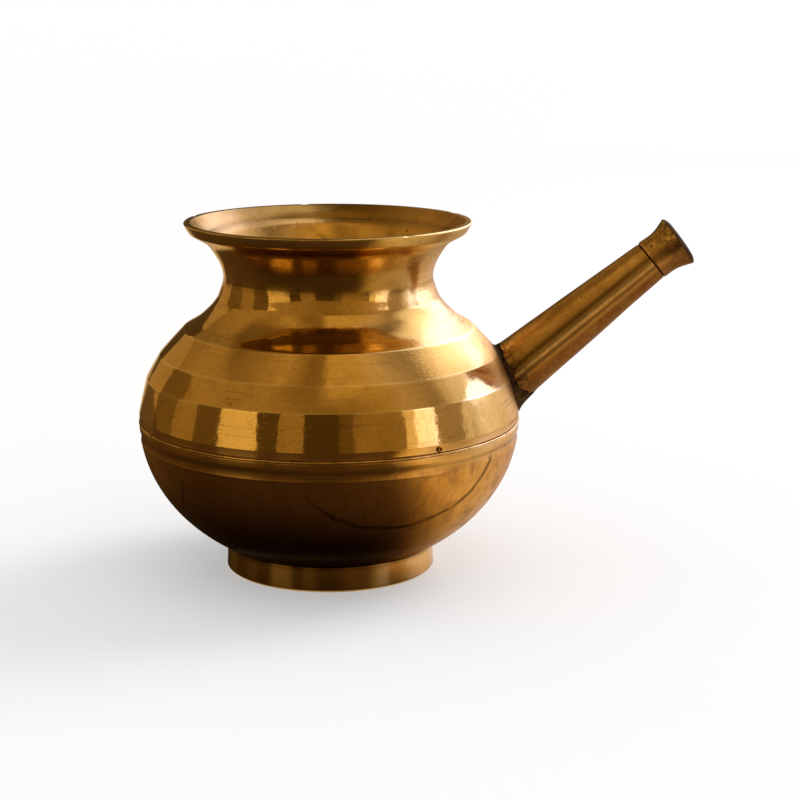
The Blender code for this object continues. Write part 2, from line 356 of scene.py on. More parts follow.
# %% The spout's own frame
SPOUT_ROOT = Vector((AXIS_X + 78.8 * MM, 0.0, 84.8 * MM))
SPOUT_RISE = math.radians(39.2)
FEED_RADIUS = 9.5
FEED_LENGTH = 40
FEED_INWARD = 8
spout_frame = Matrix.Translation(SPOUT_ROOT) @ Matrix.Rotation(math.pi / 2 - SPOUT_RISE, 4, "Y")
print("spout root", [round(value / MM, 1) for value in SPOUT_ROOT])

# %% Cut the two holes
PIT_TURN = math.radians(-57.7)
PIT_RADIUS = 82.2
PIT_HEIGHT = 68.0
PIT_SIZE = (1.2, 1.2, 1.3)


def cut_with(piece, cutter_shape):
    """Subtract a bmesh from a piece, clear the slivers and keep the result as the piece's own mesh."""
    cutter = into_object(cutter_shape, "cutter")
    trim = piece.modifiers.new("cut", "BOOLEAN")
    trim.operation = "DIFFERENCE"
    trim.solver = "EXACT"
    trim.object = cutter
    evaluated = piece.evaluated_get(bpy.context.evaluated_depsgraph_get())
    cut_mesh = bpy.data.meshes.new_from_object(evaluated)
    cleaned = bmesh.new()
    cleaned.from_mesh(cut_mesh)
    bmesh.ops.remove_doubles(cleaned, verts=cleaned.verts, dist=MERGE_DISTANCE)
    bmesh.ops.dissolve_degenerate(cleaned, edges=cleaned.edges, dist=MERGE_DISTANCE)
    cleaned.to_mesh(cut_mesh)
    cleaned.free()
    piece.modifiers.clear()
    piece.data = cut_mesh
    bpy.data.objects.remove(cutter, do_unlink=True)


feed_cutter = bmesh.new()
bmesh.ops.create_cone(
    feed_cutter, cap_ends=True, segments=96, radius1=FEED_RADIUS * MM, radius2=FEED_RADIUS * MM,
    depth=FEED_LENGTH * MM, matrix=spout_frame @ Matrix.Translation((0.0, 0.0, -FEED_INWARD * MM)),
)
cut_with(upper_body, feed_cutter)

pit_cutter = bmesh.new()
bmesh.ops.create_icosphere(pit_cutter, subdivisions=4, radius=MM)
# The pit's walls are painted black, as shade in the hole.
black_mark = pit_cutter.verts.layers.float.new("black_mark")
for vert in pit_cutter.verts:
    vert[black_mark] = 1.0
bmesh.ops.scale(pit_cutter, vec=PIT_SIZE, verts=pit_cutter.verts)
pit_place = round_pot(PIT_RADIUS, PIT_TURN, PIT_HEIGHT)
bmesh.ops.translate(pit_cutter, vec=pit_place, verts=pit_cutter.verts)
cut_with(upper_body, pit_cutter)
print("upper body after cutting:", len(upper_body.data.polygons), "faces")

# %% [markdown]
# ## The bowl
# The lower casting is half an ellipsoid hung from the seam. It carries a turned band and a shallow cove
# just under the seam, and flattens at the base so that only the foot ring meets the table. The ellipse is
# a formula, so very little of this outline is measured.

# %% Formulas for the bowl
BOWL_DEPTH = 65.6
BASE_FLAT = 30.0
COVE_TOP = 62.9
COVE_FOOT = 58.0
COVE_DEPTH = 0.34


def bowl_radius(height):
    return BELLY_RADIUS * math.sqrt(1 - ((SEAM_HEIGHT - height) / BOWL_DEPTH) ** 2)


def bowl_height(radius):
    return SEAM_HEIGHT - BOWL_DEPTH * math.sqrt(1 - (radius / BELLY_RADIUS) ** 2)


def bowl_line(depth, from_radius, to_radius, count):
    """Points on the bowl's ellipse, depth inside its outer face."""
    wide, tall = BELLY_RADIUS - depth, BOWL_DEPTH - depth
    first, last = math.acos(min(1.0, from_radius / wide)), math.acos(min(1.0, to_radius / wide))
    turns = [first + (last - first) * index / count for index in range(count + 1)]
    return [(wide * math.cos(turn), SEAM_HEIGHT - tall * math.sin(turn)) for turn in turns]


def on_bowl(height, rise=0.0):
    return (bowl_radius(height) + rise, height)


print("the bowl's radius under the cove is", round(bowl_radius(COVE_FOOT), 1), "mm")

# %% Spin the bowl
seat = SEAM_HEIGHT - JOINT_GAP / 2
tongue_radius = lap_radius - JOINT_GAP
tongue_top = SEAM_HEIGHT + LAP_HEIGHT
inside_line = bowl_line(WALL, BASE_FLAT, BELLY_RADIUS - WALL, 36)
tongue_line = [(BELLY_RADIUS - WALL, tongue_top), (tongue_radius, tongue_top), (tongue_radius, seat)]
BOWL_LIP = (BELLY_RADIUS, seat - 0.5)
COVE_EDGE = on_bowl(COVE_TOP)
COVE_LIP = on_bowl(COVE_FOOT, 0.08)
BOWL_START = on_bowl(COVE_FOOT - 0.5)
band = [(GROOVE_RADIUS, seat), BOWL_LIP] + crowned(BOWL_LIP, COVE_EDGE, 0.05, 8)
cove = crowned(COVE_EDGE, COVE_LIP, -COVE_DEPTH, 20) + [BOWL_START]
outside_line = bowl_line(0.0, BOWL_START[0], BASE_FLAT, 60)[1:]
bowl_outline = [(0.0, inside_line[0][1])] + inside_line + tongue_line + band + cove + outside_line
bowl_outline += [(0.0, outside_line[-1][1])]
bowl_shape = turn_outline(
    bowl_outline, VESSEL_STEPS, corners=[BOWL_LIP, COVE_EDGE, COVE_LIP], rounding=0.15, ring=False
)
ripple(bowl_shape, 0.1, 30.0, 8.0)
mark_rings(bowl_shape, "edge", [BOWL_LIP], 0.5)
# Dark rings in the cove, the seam and above the foot: partly dirt, partly painted shade.
bowl_dirt_and_shade = [on_bowl(61.4, -COVE_DEPTH), (GROOVE_RADIUS, seat), (46.0, bowl_height(46.0))]
mark_rings(bowl_shape, "dirt_and_shade", bowl_dirt_and_shade, 0.9)
mark_inside(bowl_shape)
lower_bowl = finish_piece(bowl_shape, "lower_bowl_shell", "lower_bowl")

# %% [markdown]
# ## The belly seam
# Filler metal ran into the groove between the two shells and was filed back by hand. What is left is a
# thin uneven bead, so the spun ring gets lumps from a noise field.

# %% Spin the seam bead
BRAZE_RADIUS = 82.6
BRAZE_SIZE = 0.5
BRAZE_SIDES = 12
BRAZE_STEPS = 720
braze_section = []
for index in range(BRAZE_SIDES):
    turn = -2 * math.pi * index / BRAZE_SIDES
    across, up = BRAZE_SIZE * math.cos(turn), BRAZE_SIZE * math.sin(turn)
    braze_section.append((BRAZE_RADIUS - BRAZE_SIZE + across, SEAM_HEIGHT + up))
braze_shape = turn_outline(braze_section, BRAZE_STEPS)
ripple(braze_shape, 0.06, 5.0, 12.0)
ripple(braze_shape, 0.03, 1.6, 15.0)
belly_braze = finish_piece(braze_shape, "belly_braze_bead", "belly_braze")

# %% [markdown]
# ## The foot
# The foot is a plain band with its top edge cut to the curve of the bowl. Inside it, out of sight until
# the pot is turned over, a rough fillet of filler holds it on.

# %% Spin the foot ring
FOOT_RADIUS = (foot_high.x - foot_low.x) / 2 / MM
FOOT_WALL = 3.3
FOOT_GAP = 0.12
foot_inner = FOOT_RADIUS - FOOT_WALL
FOOT_TAPER = 0.45
FOOT_TOP = (FOOT_RADIUS - FOOT_TAPER, bowl_height(FOOT_RADIUS - FOOT_TAPER) - FOOT_GAP)
FOOT_EDGE = (FOOT_RADIUS, 0.9)
FOOT_SOLE = (FOOT_RADIUS - 1.0, 0.0)
FOOT_SOLE_INNER = (foot_inner + 0.8, 0.0)
FOOT_WALL_INNER = (foot_inner, 0.8)
FOOT_FACE = (FOOT_RADIUS - 0.12, 2.6)
foot_outline = [FOOT_TOP] + crowned(FOOT_TOP, FOOT_FACE, 0.03, 10) + [FOOT_EDGE, FOOT_SOLE]
foot_outline += crowned(FOOT_SOLE, FOOT_SOLE_INNER, count=4) + [FOOT_WALL_INNER]
foot_outline += crowned(FOOT_WALL_INNER, (foot_inner, bowl_height(foot_inner) - FOOT_GAP), count=8)
foot_corners = [FOOT_TOP, FOOT_EDGE, FOOT_SOLE, FOOT_SOLE_INNER, FOOT_WALL_INNER]
foot_shape = turn_outline(foot_outline, VESSEL_STEPS, corners=foot_corners, rounding=0.25)
ripple(foot_shape, 0.05, 18.0, 21.0)
mark_rings(foot_shape, "edge", [FOOT_EDGE, FOOT_SOLE], 0.9)
# The corner under the bowl is darkened: partly dirt, partly painted shade.
mark_rings(foot_shape, "dirt_and_shade", [FOOT_TOP], 1.2)
mark_inside(foot_shape)
for vert in foot_shape.verts:
    vert.co.z = max(vert.co.z, 0.0)
foot_ring = finish_piece(foot_shape, "foot_ring_band", "foot_ring")

# %% Spin the fillet inside the foot
fillet_wall = foot_inner - 0.05
fillet_toe = fillet_wall - 3.6
fillet_foot = (fillet_wall, bowl_height(fillet_wall) - 3.4)
fillet_outline = [(fillet_wall, bowl_height(fillet_wall) - 0.1), fillet_foot]
fillet_outline += crowned(fillet_foot, (fillet_toe, bowl_height(fillet_toe) - 0.3), 0.7, 10)
fillet_outline += [(fillet_toe, bowl_height(fillet_toe) - 0.05)]
fillet_shape = turn_outline(fillet_outline, VESSEL_STEPS)
ripple(fillet_shape, 0.35, 6.0, 31.0)
foot_braze = finish_piece(fillet_shape, "foot_braze_fillet", "foot_braze")

# %% [markdown]
# ## The spout tube
# The tube is sheet brass rolled into a taper, with its closing seam along the side, and its root is
# coped, which means filed to the curve that it sits on. It is spun upright like the rest. Then each
# column of vertices slides along the tube until it meets the shoulder, found with a ray cast, and last
# the whole tube is laid into the spout's frame.

# %% Find where the tube meets the shoulder
TUBE_LENGTH = 77.4
TUBE_ROOT = 13.35
TUBE_TIP = 8.9
TUBE_WALL = 2.0
TUBE_STEPS = 192
COPE_REACH = 40.0


def tube_radius(along):
    return TUBE_ROOT + (TUBE_TIP - TUBE_ROOT) * along / TUBE_LENGTH


def root_along(radius, turn):
    """How far along the spout's axis a straight line at this radius and turn meets the shoulder."""
    start = Vector((radius * MM * math.cos(turn), radius * MM * math.sin(turn), COPE_REACH * MM))
    towards = spout_frame.to_3x3() @ Vector((0.0, 0.0, -1.0))
    distance = body_tree.ray_cast(spout_frame @ start, towards)[3]
    return COPE_REACH - distance / MM


def place_along(vert):
    """A vertex's radius and turn about the spout's axis, in millimetres and radians."""
    return math.hypot(vert.co.x, vert.co.y) / MM, math.atan2(vert.co.y, vert.co.x)


root_sides = [round(root_along(TUBE_ROOT, turn), 1) for turn in (0.0, math.pi)]
print("the tube's root lies between", root_sides, "mm along the spout")

# %% Spin and cope the tube
SEAM_TURN = math.radians(-95.0)
ROOT_OVERLAP = 0.06
SEAM_WIDTH = 0.8
SEAM_RISE = 0.10
SEAM_GROOVE_AWAY = 2.1
SEAM_GROOVE_WIDTH = 1.0
SEAM_GROOVE_DEPTH = 0.14
TUBE_END = (TUBE_TIP, TUBE_LENGTH)
TUBE_END_INNER = (TUBE_TIP - TUBE_WALL, TUBE_LENGTH)
tube_outline = [TUBE_END] + crowned(TUBE_END, (TUBE_ROOT, 0.0), 0.0, 60)
TUBE_ROOT_INNER = (TUBE_ROOT - TUBE_WALL, 0.0)
tube_outline += [TUBE_ROOT_INNER] + crowned(TUBE_ROOT_INNER, TUBE_END_INNER, 0.0, 20)
tube_corners = [TUBE_END, TUBE_END_INNER]
tube_shape = turn_outline(tube_outline, TUBE_STEPS, corners=tube_corners, rounding=0.3, axis_x=0.0)
seam_bead = tube_shape.verts.layers.float.new("seam")
# Two shallow grooves beside the seam are darkened: partly dirt, partly painted shade.
seam_dirt_and_shade = tube_shape.verts.layers.float.new("dirt_and_shade")
for vert in tube_shape.verts:
    radius, turn = place_along(vert)
    root = root_along(radius, turn) - ROOT_OVERLAP
    vert.co.z = root * MM + vert.co.z * (TUBE_LENGTH - root) / TUBE_LENGTH
    off_seam = math.remainder(turn - SEAM_TURN, 2 * math.pi) * radius
    if radius > tube_radius(vert.co.z / MM) - 0.5 * TUBE_WALL:
        vert[seam_bead] = math.exp(-((off_seam / SEAM_WIDTH) ** 2))
        vert[seam_dirt_and_shade] = math.exp(-(((abs(off_seam) - SEAM_GROOVE_AWAY) / SEAM_GROOVE_WIDTH) ** 2))
        squeeze = 1 + (SEAM_RISE * vert[seam_bead] - SEAM_GROOVE_DEPTH * vert[seam_dirt_and_shade]) / radius
        vert.co.x *= squeeze
        vert.co.y *= squeeze
ripple(tube_shape, 0.16, 17.0, 41.0)
bmesh.ops.transform(tube_shape, matrix=spout_frame, verts=tube_shape.verts)
spout_tube = finish_piece(tube_shape, "spout_tube_rolled", "spout_tube")

# %% [markdown]
# ## The nozzle
# The mouthpiece is turned on its own and plugs into the tube with a spigot. A thin ring of filler sits in
# the groove between them, slightly below the surface, which is why the joint reads as a dark line with
# one bright edge. The nozzle went on a little crooked, so everything past the joint is turned a few
# degrees.

# %% Spin the nozzle
RING_START = TUBE_LENGTH + 0.1
RING_END = RING_START + 0.6
RING_RADIUS = 8.7
SPIGOT_RADIUS = 6.3
NOZZLE_DROP = math.radians(3.2)
NOZZLE_LIP = (11.55, 91.9)
NOZZLE_SHOULDER = (9.25, 78.5)
NOZZLE_FLARE = [NOZZLE_LIP, (10.9, 90.2), (9.7, 86.6), (9.2, 83.2), NOZZLE_SHOULDER]
NOZZLE_BORE = [(5.2, 72.0), (5.4, 84.0), (6.2, 90.0), (7.5, 93.3)]
NOZZLE_ROUND = [(8.0, 93.55), (9.0, 93.45), (10.4, 92.9), (11.2, 92.35)]
NOZZLE_SEAT = (8.8, RING_END + 0.05)
nozzle_outline = NOZZLE_ROUND + smooth_through(NOZZLE_FLARE, 8)
nozzle_outline += [NOZZLE_SEAT, (SPIGOT_RADIUS, NOZZLE_SEAT[1]), (SPIGOT_RADIUS, NOZZLE_BORE[0][1])]
nozzle_outline += smooth_through(NOZZLE_BORE, 6)
nozzle_corners = [NOZZLE_LIP, NOZZLE_SHOULDER, NOZZLE_BORE[-1]]
nozzle_shape = turn_outline(nozzle_outline, TUBE_STEPS, corners=nozzle_corners, axis_x=0.0)
ripple(nozzle_shape, 0.1, 8.0, 51.0)
black_mark = nozzle_shape.verts.layers.float.new("black_mark")
for vert in nozzle_shape.verts:
    vert[black_mark] = step_up(vert.co.z / MM, NOZZLE_LIP[1] - 0.5, NOZZLE_LIP[1] + 0.3)
crooked = Matrix.Rotation(NOZZLE_DROP, 4, "Y")
joint = Matrix.Translation((0.0, 0.0, RING_END * MM))
outer_part = [vert for vert in nozzle_shape.verts if vert.co.z > NOZZLE_SHOULDER[1] * MM]
bmesh.ops.transform(nozzle_shape, matrix=joint @ crooked @ joint.inverted(), verts=outer_part)
bmesh.ops.transform(nozzle_shape, matrix=spout_frame, verts=nozzle_shape.verts)
spout_nozzle = finish_piece(nozzle_shape, "spout_nozzle_turned", "spout_nozzle")

# %% Spin the ring of filler
ring_top = (RING_RADIUS, RING_END)
ring_inner = SPIGOT_RADIUS + 0.1
ring_outline = [ring_top] + crowned(ring_top, (RING_RADIUS, RING_START), 0.12, 6)
ring_outline += [(ring_inner, RING_START), (ring_inner, RING_END)]
ring_shape = turn_outline(ring_outline, TUBE_STEPS, axis_x=0.0)
ripple(ring_shape, 0.06, 3.0, 57.0)
bmesh.ops.transform(ring_shape, matrix=spout_frame, verts=ring_shape.verts)
nozzle_solder = finish_piece(ring_shape, "nozzle_solder_ring", "nozzle_solder")

# %% [markdown]
# ## Solder round the spout's root
# The filler was laid on thickly and never cleaned up: it climbs the tube, most of all underneath, and
# spreads a few millimetres over the shoulder. A ring with a fillet section is coped like the tube and
# then made lumpy with two sizes of noise.

# %% Model the solder collar
SOLDER_TOE, SOLDER_HEEL = (-0.15, 1.0), (-0.15, 0.0)
SOLDER_FACE = [(0.05, 1.0), (0.2, 0.72), (0.45, 0.4), (0.85, 0.16), (1.5, 0.0)]
SOLDER_RISE = 2.6
SOLDER_RISE_BELOW = 9.5
SOLDER_STEPS = 288
SOLDER_THINNEST = 0.05
LUMP_COUNT, FINE_COUNT = 4, 14
LUMP_REACH, LUMP_HEIGHT, FINE_HEIGHT = 0.35, 0.4, 0.1
solder_section = [SOLDER_TOE] + smooth_through(SOLDER_FACE, 4) + [SOLDER_HEEL]
solder_outline = [(TUBE_ROOT + rise, height) for rise, height in solder_section]
solder_shape = turn_outline(solder_outline, SOLDER_STEPS, axis_x=0.0)
for vert in solder_shape.verts:
    radius, turn = place_along(vert)
    up = vert.co.z / MM
    rise = radius - TUBE_ROOT
    below = max(0.0, math.cos(turn)) ** 2
    lump = noise.noise(Vector((math.cos(turn) * LUMP_COUNT, math.sin(turn) * LUMP_COUNT, up * 1.5)))
    fine = noise.noise(Vector((math.cos(turn) * FINE_COUNT, math.sin(turn) * FINE_COUNT, up * 5 + 9)))
    reach = (SOLDER_RISE + (SOLDER_RISE_BELOW - SOLDER_RISE) * below) * (1 + LUMP_REACH * lump)
    root = root_along(TUBE_ROOT + rise, turn)
    along = root + up * reach
    if rise > 0.0:
        rise = max(SOLDER_THINNEST, rise * (1 + LUMP_HEIGHT * lump) + FINE_HEIGHT * fine)
    across = (tube_radius(along) + rise) / radius
    vert.co.x *= across
    vert.co.y *= across
    vert.co.z = along * MM
bmesh.ops.transform(solder_shape, matrix=spout_frame, verts=solder_shape.verts)
spout_solder = finish_piece(solder_shape, "spout_solder_collar", "spout_solder")

# %% [markdown]
# ## Finishes: shared effects
# Old brass is not one colour. It has lathe lines that run round it, clouds of tarnish, scratches in every
# direction and dark specks. Each effect is a node group with named inputs, built once and used by several
# metals with their own values. The groups only put out masks and heights, and every metal keeps its own
# Principled shader.

# %% Place and join nodes


def is_output(value):
    return isinstance(value, bpy.types.NodeSocket)


def fill(node, inputs):
    """Fill a node's inputs with plain values or other nodes' outputs."""
    for name, value in inputs.items():
        if is_output(value):
            node.id_data.links.new(value, node.inputs[name])
        else:
            node.inputs[name].default_value = value


def put(kind, inputs, tree=None, **settings):
    """Add a node to a tree, or else to the tree of the first output that feeds it."""
    if tree is None:
        tree = next(value.id_data for value in inputs.values() if is_output(value))
    made = tree.nodes.new(kind)
    for name, value in settings.items():
        setattr(made, name, value)
    fill(made, inputs)
    return made


print("nodes can be placed")

# %% Sums, ramps and noise


def calc(operation, first, second=0.0, clamp=False):
    """One Math node."""
    made = put("ShaderNodeMath", {0: first, 1: second}, operation=operation, use_clamp=clamp)
    return made.outputs[0]


def times(first, second):
    return calc("MULTIPLY", first, second)


def vector_calc(operation, first, second=(0, 0, 0), output="Vector"):
    """One Vector Math node."""
    made = put("ShaderNodeVectorMath", {0: first, 1: second}, operation=operation)
    return made.outputs[output]


def blend(factor, first, second):
    """One colour Mix node."""
    return put("ShaderNodeMix", {0: factor, 6: first, 7: second}, data_type="RGBA").outputs[2]


def ramp(value, low, high, from_value=0.0, to_value=1.0):
    """A smooth step of a value between low and high."""
    names = {"Value": value, "From Min": low, "From Max": high, "To Min": from_value, "To Max": to_value}
    return put("ShaderNodeMapRange", names, interpolation_type="SMOOTHSTEP").outputs[0]


def ramp_mm(length, low, high, from_value=0.0, to_value=1.0):
    """A smooth step of a length between low and high millimetres."""
    return ramp(length, low * MM, high * MM, from_value, to_value)


def band_mm(length, foot, full, fade, top):
    """1 between two lengths in millimetres, fading out on both sides."""
    return times(ramp_mm(length, foot, full), ramp_mm(length, fade, top, 1.0, 0.0))


def grainy(vector, scale, detail, roughness=0.5):
    """Plain noise."""
    names = {"Vector": vector, "Scale": scale, "Detail": detail, "Roughness": roughness}
    return put("ShaderNodeTexNoise", names).outputs[0]


def stretched(vector, scale, turn=(0.0, 0.0, 0.0)):
    """Coordinates that are turned and have their own scale along each axis."""
    names = {"Vector": vector, "Rotation": turn, "Scale": scale}
    return put("ShaderNodeMapping", names).outputs[0]


print("sums, ramps and noise ready")

# %% An empty effect
VECTOR, VALUE = "NodeSocketVector", "NodeSocketFloat"


def new_effect(name, inputs, output):
    """A node group with named sockets; returns the group, its inputs and its output node."""
    group = bpy.data.node_groups.new(name, "ShaderNodeTree")
    for label, kind in inputs.items():
        group.interface.new_socket(label, in_out="INPUT", socket_type=kind)
    group.interface.new_socket(output, in_out="OUTPUT", socket_type=VALUE)
    return group, put("NodeGroupInput", {}, group).outputs, put("NodeGroupOutput", {}, group).inputs


print("effects put out a", VALUE)

# %% [markdown]
# ## Lathe lines
# A turned surface keeps fine circles from the tool. A Wave texture draws rings too, but they repeat.
# Noise that changes fast with height and radius, and slowly along the turn, draws circles round the pot's
# axis that don't.

# %% Build the lathe lines
LINE_CHANGE = 22.0
lathe_lines, given, result = new_effect("lathe_lines", {"Vector": VECTOR, "Lines": VALUE}, "Height")
flat = vector_calc("MULTIPLY", given["Vector"], (1, 1, 0))
radius = vector_calc("LENGTH", flat, output="Value")
parts = put("ShaderNodeSeparateXYZ", {0: given["Vector"]}).outputs
line_scales = {"X": LINE_CHANGE, "Y": LINE_CHANGE, "Z": given["Lines"]}
line_places = {axis: times(parts[axis], scale) for axis, scale in line_scales.items()}
line_inputs = {
    "Vector": put("ShaderNodeCombineXYZ", line_places).outputs[0],
    "W": times(radius, given["Lines"]), "Scale": 1.0, "Detail": 3.0, "Roughness": 0.65,
}
lines = put("ShaderNodeTexNoise", line_inputs, noise_dimensions="4D")
lathe_lines.links.new(lines.outputs[0], result["Height"])
print(lathe_lines.name, "has", len(lathe_lines.nodes), "nodes")

# %% [markdown]
# ## Clouds of tarnish
# Tarnish gathers in soft patches of many sizes. One detailed noise, cut off between two values, gives the
# mask for all of them: its scale sets the size of the patches and the two values set how much metal they
# cover.

# %% Build the clouds
cloud_sockets = {"Vector": VECTOR, "Scale": VALUE, "Low": VALUE, "High": VALUE}
tarnish, given, result = new_effect("tarnish", cloud_sockets, "Mask")
cloud_inputs = {
    "Vector": given["Vector"], "Scale": given["Scale"], "Detail": 9.0, "Roughness": 0.62, "Distortion": 0.5,
}
cloud_noise = put("ShaderNodeTexNoise", cloud_inputs).outputs[0]
tarnish.links.new(ramp(cloud_noise, given["Low"], given["High"]), result["Mask"])
print(tarnish.name, "has", len(tarnish.nodes), "nodes")

# %% [markdown]
# ## Scratches
# Years of scouring leave fine scratches in all directions. They could be drawn as curves, one by one.
# Noise that is drawn out along one direction leaves long thin streaks where it peaks, which is quicker,
# and three directions are enough to look random on a round pot.

# %% Build the scratches
SCRATCH_TURNS = [(0.3, 0.2, 0.5), (1.2, -0.5, 2.1), (-0.7, 0.9, -1.0)]
SCRATCH_SCALE = (38.0, 1500.0, 1500.0)
SCRATCH_FADE = 0.08
scratches, given, result = new_effect("scratches", {"Vector": VECTOR, "Sparse": VALUE}, "Mask")
limit = calc("ADD", given["Sparse"], SCRATCH_FADE)
strongest = 0.0
for scratch_turn in SCRATCH_TURNS:
    turned_to = stretched(given["Vector"], SCRATCH_SCALE, scratch_turn)
    streak = ramp(grainy(turned_to, 1.0, 2.0), given["Sparse"], limit)
    strongest = calc("MAXIMUM", strongest, streak)
scratches.links.new(strongest, result["Mask"])
print(scratches.name, "has", len(scratches.nodes), "nodes")

# %% [markdown]
# ## Specks
# Small dark pits and drops of dirt are scattered over old brass. Voronoi cells give one dot each, evenly
# scattered. The random colour of a cell decides how large its dot is and whether it is kept at all.

# %% Build the specks
SPECK_BEND = 0.0011
SPECK_SIZE = 0.42
SPECK_EDGE = (-0.06, 0.1)
specks, given, result = new_effect("specks", {"Vector": VECTOR, "Scale": VALUE, "Share": VALUE}, "Mask")
bend_inputs = {"Vector": given["Vector"], "Scale": 900.0, "Detail": 2.0}
bend = put("ShaderNodeTexNoise", bend_inputs).outputs["Color"]
bent_inputs = {0: bend, 1: (SPECK_BEND, SPECK_BEND, SPECK_BEND), 2: given["Vector"]}
bent = put("ShaderNodeVectorMath", bent_inputs, operation="MULTIPLY_ADD").outputs[0]
cells = put("ShaderNodeTexVoronoi", {"Vector": bent, "Scale": given["Scale"]})
pick = put("ShaderNodeSeparateColor", {0: cells.outputs["Color"]}).outputs
size = times(pick["Green"], SPECK_SIZE)
dot = ramp(calc("SUBTRACT", size, cells.outputs["Distance"]), *SPECK_EDGE)
kept = calc("LESS_THAN", pick["Red"], given["Share"])
specks.links.new(times(dot, kept), result["Mask"])
print("effects:", [group.name for group in (lathe_lines, tarnish, scratches, specks)])

# %% [markdown]
# ## Finishes: the metals
# Every metal here is a Principled shader with Metallic at 1. What differs is how brown it has gone, how
# rough it is and which way its fine lines run. A metal is built up as on an old pot: a clean colour
# first, then one thin layer of tarnish or dirt after another, each held back by its own mask.

# %% Colours and a metal to start from
GOLD = (0.74, 0.45, 0.14, 1.0)
DEEP_GOLD = (0.58, 0.33, 0.09, 1.0)
BRIGHT_EDGE = (0.88, 0.64, 0.30, 1.0)
BROWN = (0.38, 0.20, 0.058, 1.0)
DARK_BROWN = (0.085, 0.040, 0.012, 1.0)
BLACK_MARK_COLOUR = (0.02, 0.010, 0.004, 1.0)
INSIDE_GOLD = (0.80, 0.47, 0.14, 1.0)
EDGE_TINT = (0.85, 0.74, 0.58, 1.0)


def centre_on(tree, centre, turn):
    """Object coordinates measured from a piece's own centre and axis."""
    place = put("ShaderNodeTexCoord", {}, tree).outputs["Object"]
    names = {"Vector": place, "Location": centre, "Rotation": turn}
    return put("ShaderNodeMapping", names, vector_type="TEXTURE").outputs[0]


def new_metal(name, centre=(AXIS_X, 0.0, 0.0), turn=(0.0, 0.0, 0.0)):
    """A metal material; returns it with its shader and its centred coordinates."""
    material = bpy.data.materials.new(name)
    material.use_nodes = True
    tree = material.node_tree
    tree.nodes.clear()
    surface = put("ShaderNodeBsdfPrincipled", {"Metallic": 1.0, "Specular Tint": EDGE_TINT}, tree)
    put("ShaderNodeOutputMaterial", {"Surface": surface.outputs[0]})
    return material, surface, centre_on(tree, centre, turn)


def effect(group, **inputs):
    """Place an effect group and return what it puts out."""
    return put("ShaderNodeGroup", inputs, node_tree=group).outputs[0]


def marks(surface, *names):
    """What a piece's vertices store under some names, as masks for its shader."""
    tree = surface.id_data
    return [put("ShaderNodeAttribute", {}, tree, attribute_name=name).outputs["Fac"] for name in names]


print("clean brass is", GOLD[:3])

# %% Layers, roughness and bumps


def layered(colour, layers):
    """Lay colours over a first one, each given as (mask, strength, colour)."""
    for mask, strength, paint in layers:
        colour = blend(times(mask, strength), colour, paint)
    return colour


def roughened(rough, masks):
    """Add to a roughness what each mask, given as (mask, amount), brings with it."""
    for mask, amount in masks:
        rough = calc("ADD", rough, times(mask, amount))
    return rough


def raised(heights):
    """Chain bumps, given as (height, distance in millimetres, strength), into a shader's normal."""
    normal = {}
    for height, distance, strength in heights:
        inputs = {"Height": height, "Distance": distance * MM, "Strength": strength, **normal}
        normal = {"Normal": put("ShaderNodeBump", inputs).outputs[0]}
    return normal


def dress(material, surface, colour, rough, heights, *pieces):
    """Give a metal its colour, roughness and bumps, and put it on some pieces."""
    fill(surface, {"Base Color": colour, "Roughness": rough, **raised(heights)})
    for piece in pieces:
        piece.data.materials.append(material)
    print(material.name, "has", len(material.node_tree.nodes), "nodes")


def clouds(centred, scale, low, high):
    """Clouds of tarnish: a mask that starts where the noise is at low and is full at high."""
    return effect(tarnish, Vector=centred, Scale=scale, Low=low, High=high)


def wear(centred, speck_scale, speck_share, line_count):
    """The dark specks and lathe lines that every turned piece has."""
    speck = effect(specks, Vector=centred, Scale=speck_scale, Share=speck_share)
    return speck, effect(lathe_lines, Vector=centred, Lines=line_count)


print("metal helpers ready")

# %% [markdown]
# ## Worn polish on the upper body
# The neck and shoulder are polished, with clouds of brown tarnish. The polish is hazy under the lip, and
# duller towards the spout, as if the soldered joint had been brushed clean. Some of the colour is painted
# light: dark reflections on the front of the neck and of the shoulder, painted shade under the lip, on the
# lip's band and inside the mouth, a painted highlight just under the lip's edge, and partly painted shade
# beside the spout's root. A painted image could hold all this, but it would need an unwrapped mesh and
# would blur close up. Masks from heights, distances and noise stay sharp at any size.

# %% Worn polish: the places that differ
# Heights and distances are in millimetres, as (foot, full, fade, top) where a band fades out on both
# sides.
FRONT_NECK_REFLECTION_BAND = (126.6, 128.6, 137.0, 141.0)
FRONT_SHOULDER_REFLECTION_BAND = (108.0, 111.0, 112.5, 116.0)
FRONT_NECK_REFLECTION_SIDE = (20.0, 40.0)
MIDDLE_REACH = (16.0, 36.0)
HAZE_AND_SHADE_FROM_TO = (134.0, 143.0)
FLARE_FROM_TO = (144.5, 146.5)
LIP_FROM_TO = (147.3, 147.9)
BRUSHED_FROM_TO = (14.0, 46.0)
DULL_FROM_TO = (84.0, 104.0)
RUBBED_OFF_SPOUT = (24.0, 44.0)
BROWN_OFF_SPOUT = (17.0, 28.0)
ROOT_DARK_REACH = (14.2, 18.5)
LEFT_SHADE_FROM_TO = (-32.0, -6.0)
LEFT_SHADE_START = (-56.0, -46.0)
ALONG_HALVED = (1, 1, 0.5)
spout_turn = (0.0, math.pi / 2 - SPOUT_RISE, 0.0)

worn_polish, surface, centred = new_metal("worn_polish")
places = put("ShaderNodeSeparateXYZ", {0: centred}).outputs
beside = calc("ABSOLUTE", places["X"])
from_root = vector_calc("MULTIPLY", centre_on(surface.id_data, SPOUT_ROOT, spout_turn), ALONG_HALVED)
off_spout = vector_calc("LENGTH", from_root, output="Value")
near_middle = ramp_mm(beside, *MIDDLE_REACH, 1.0, 0.0)
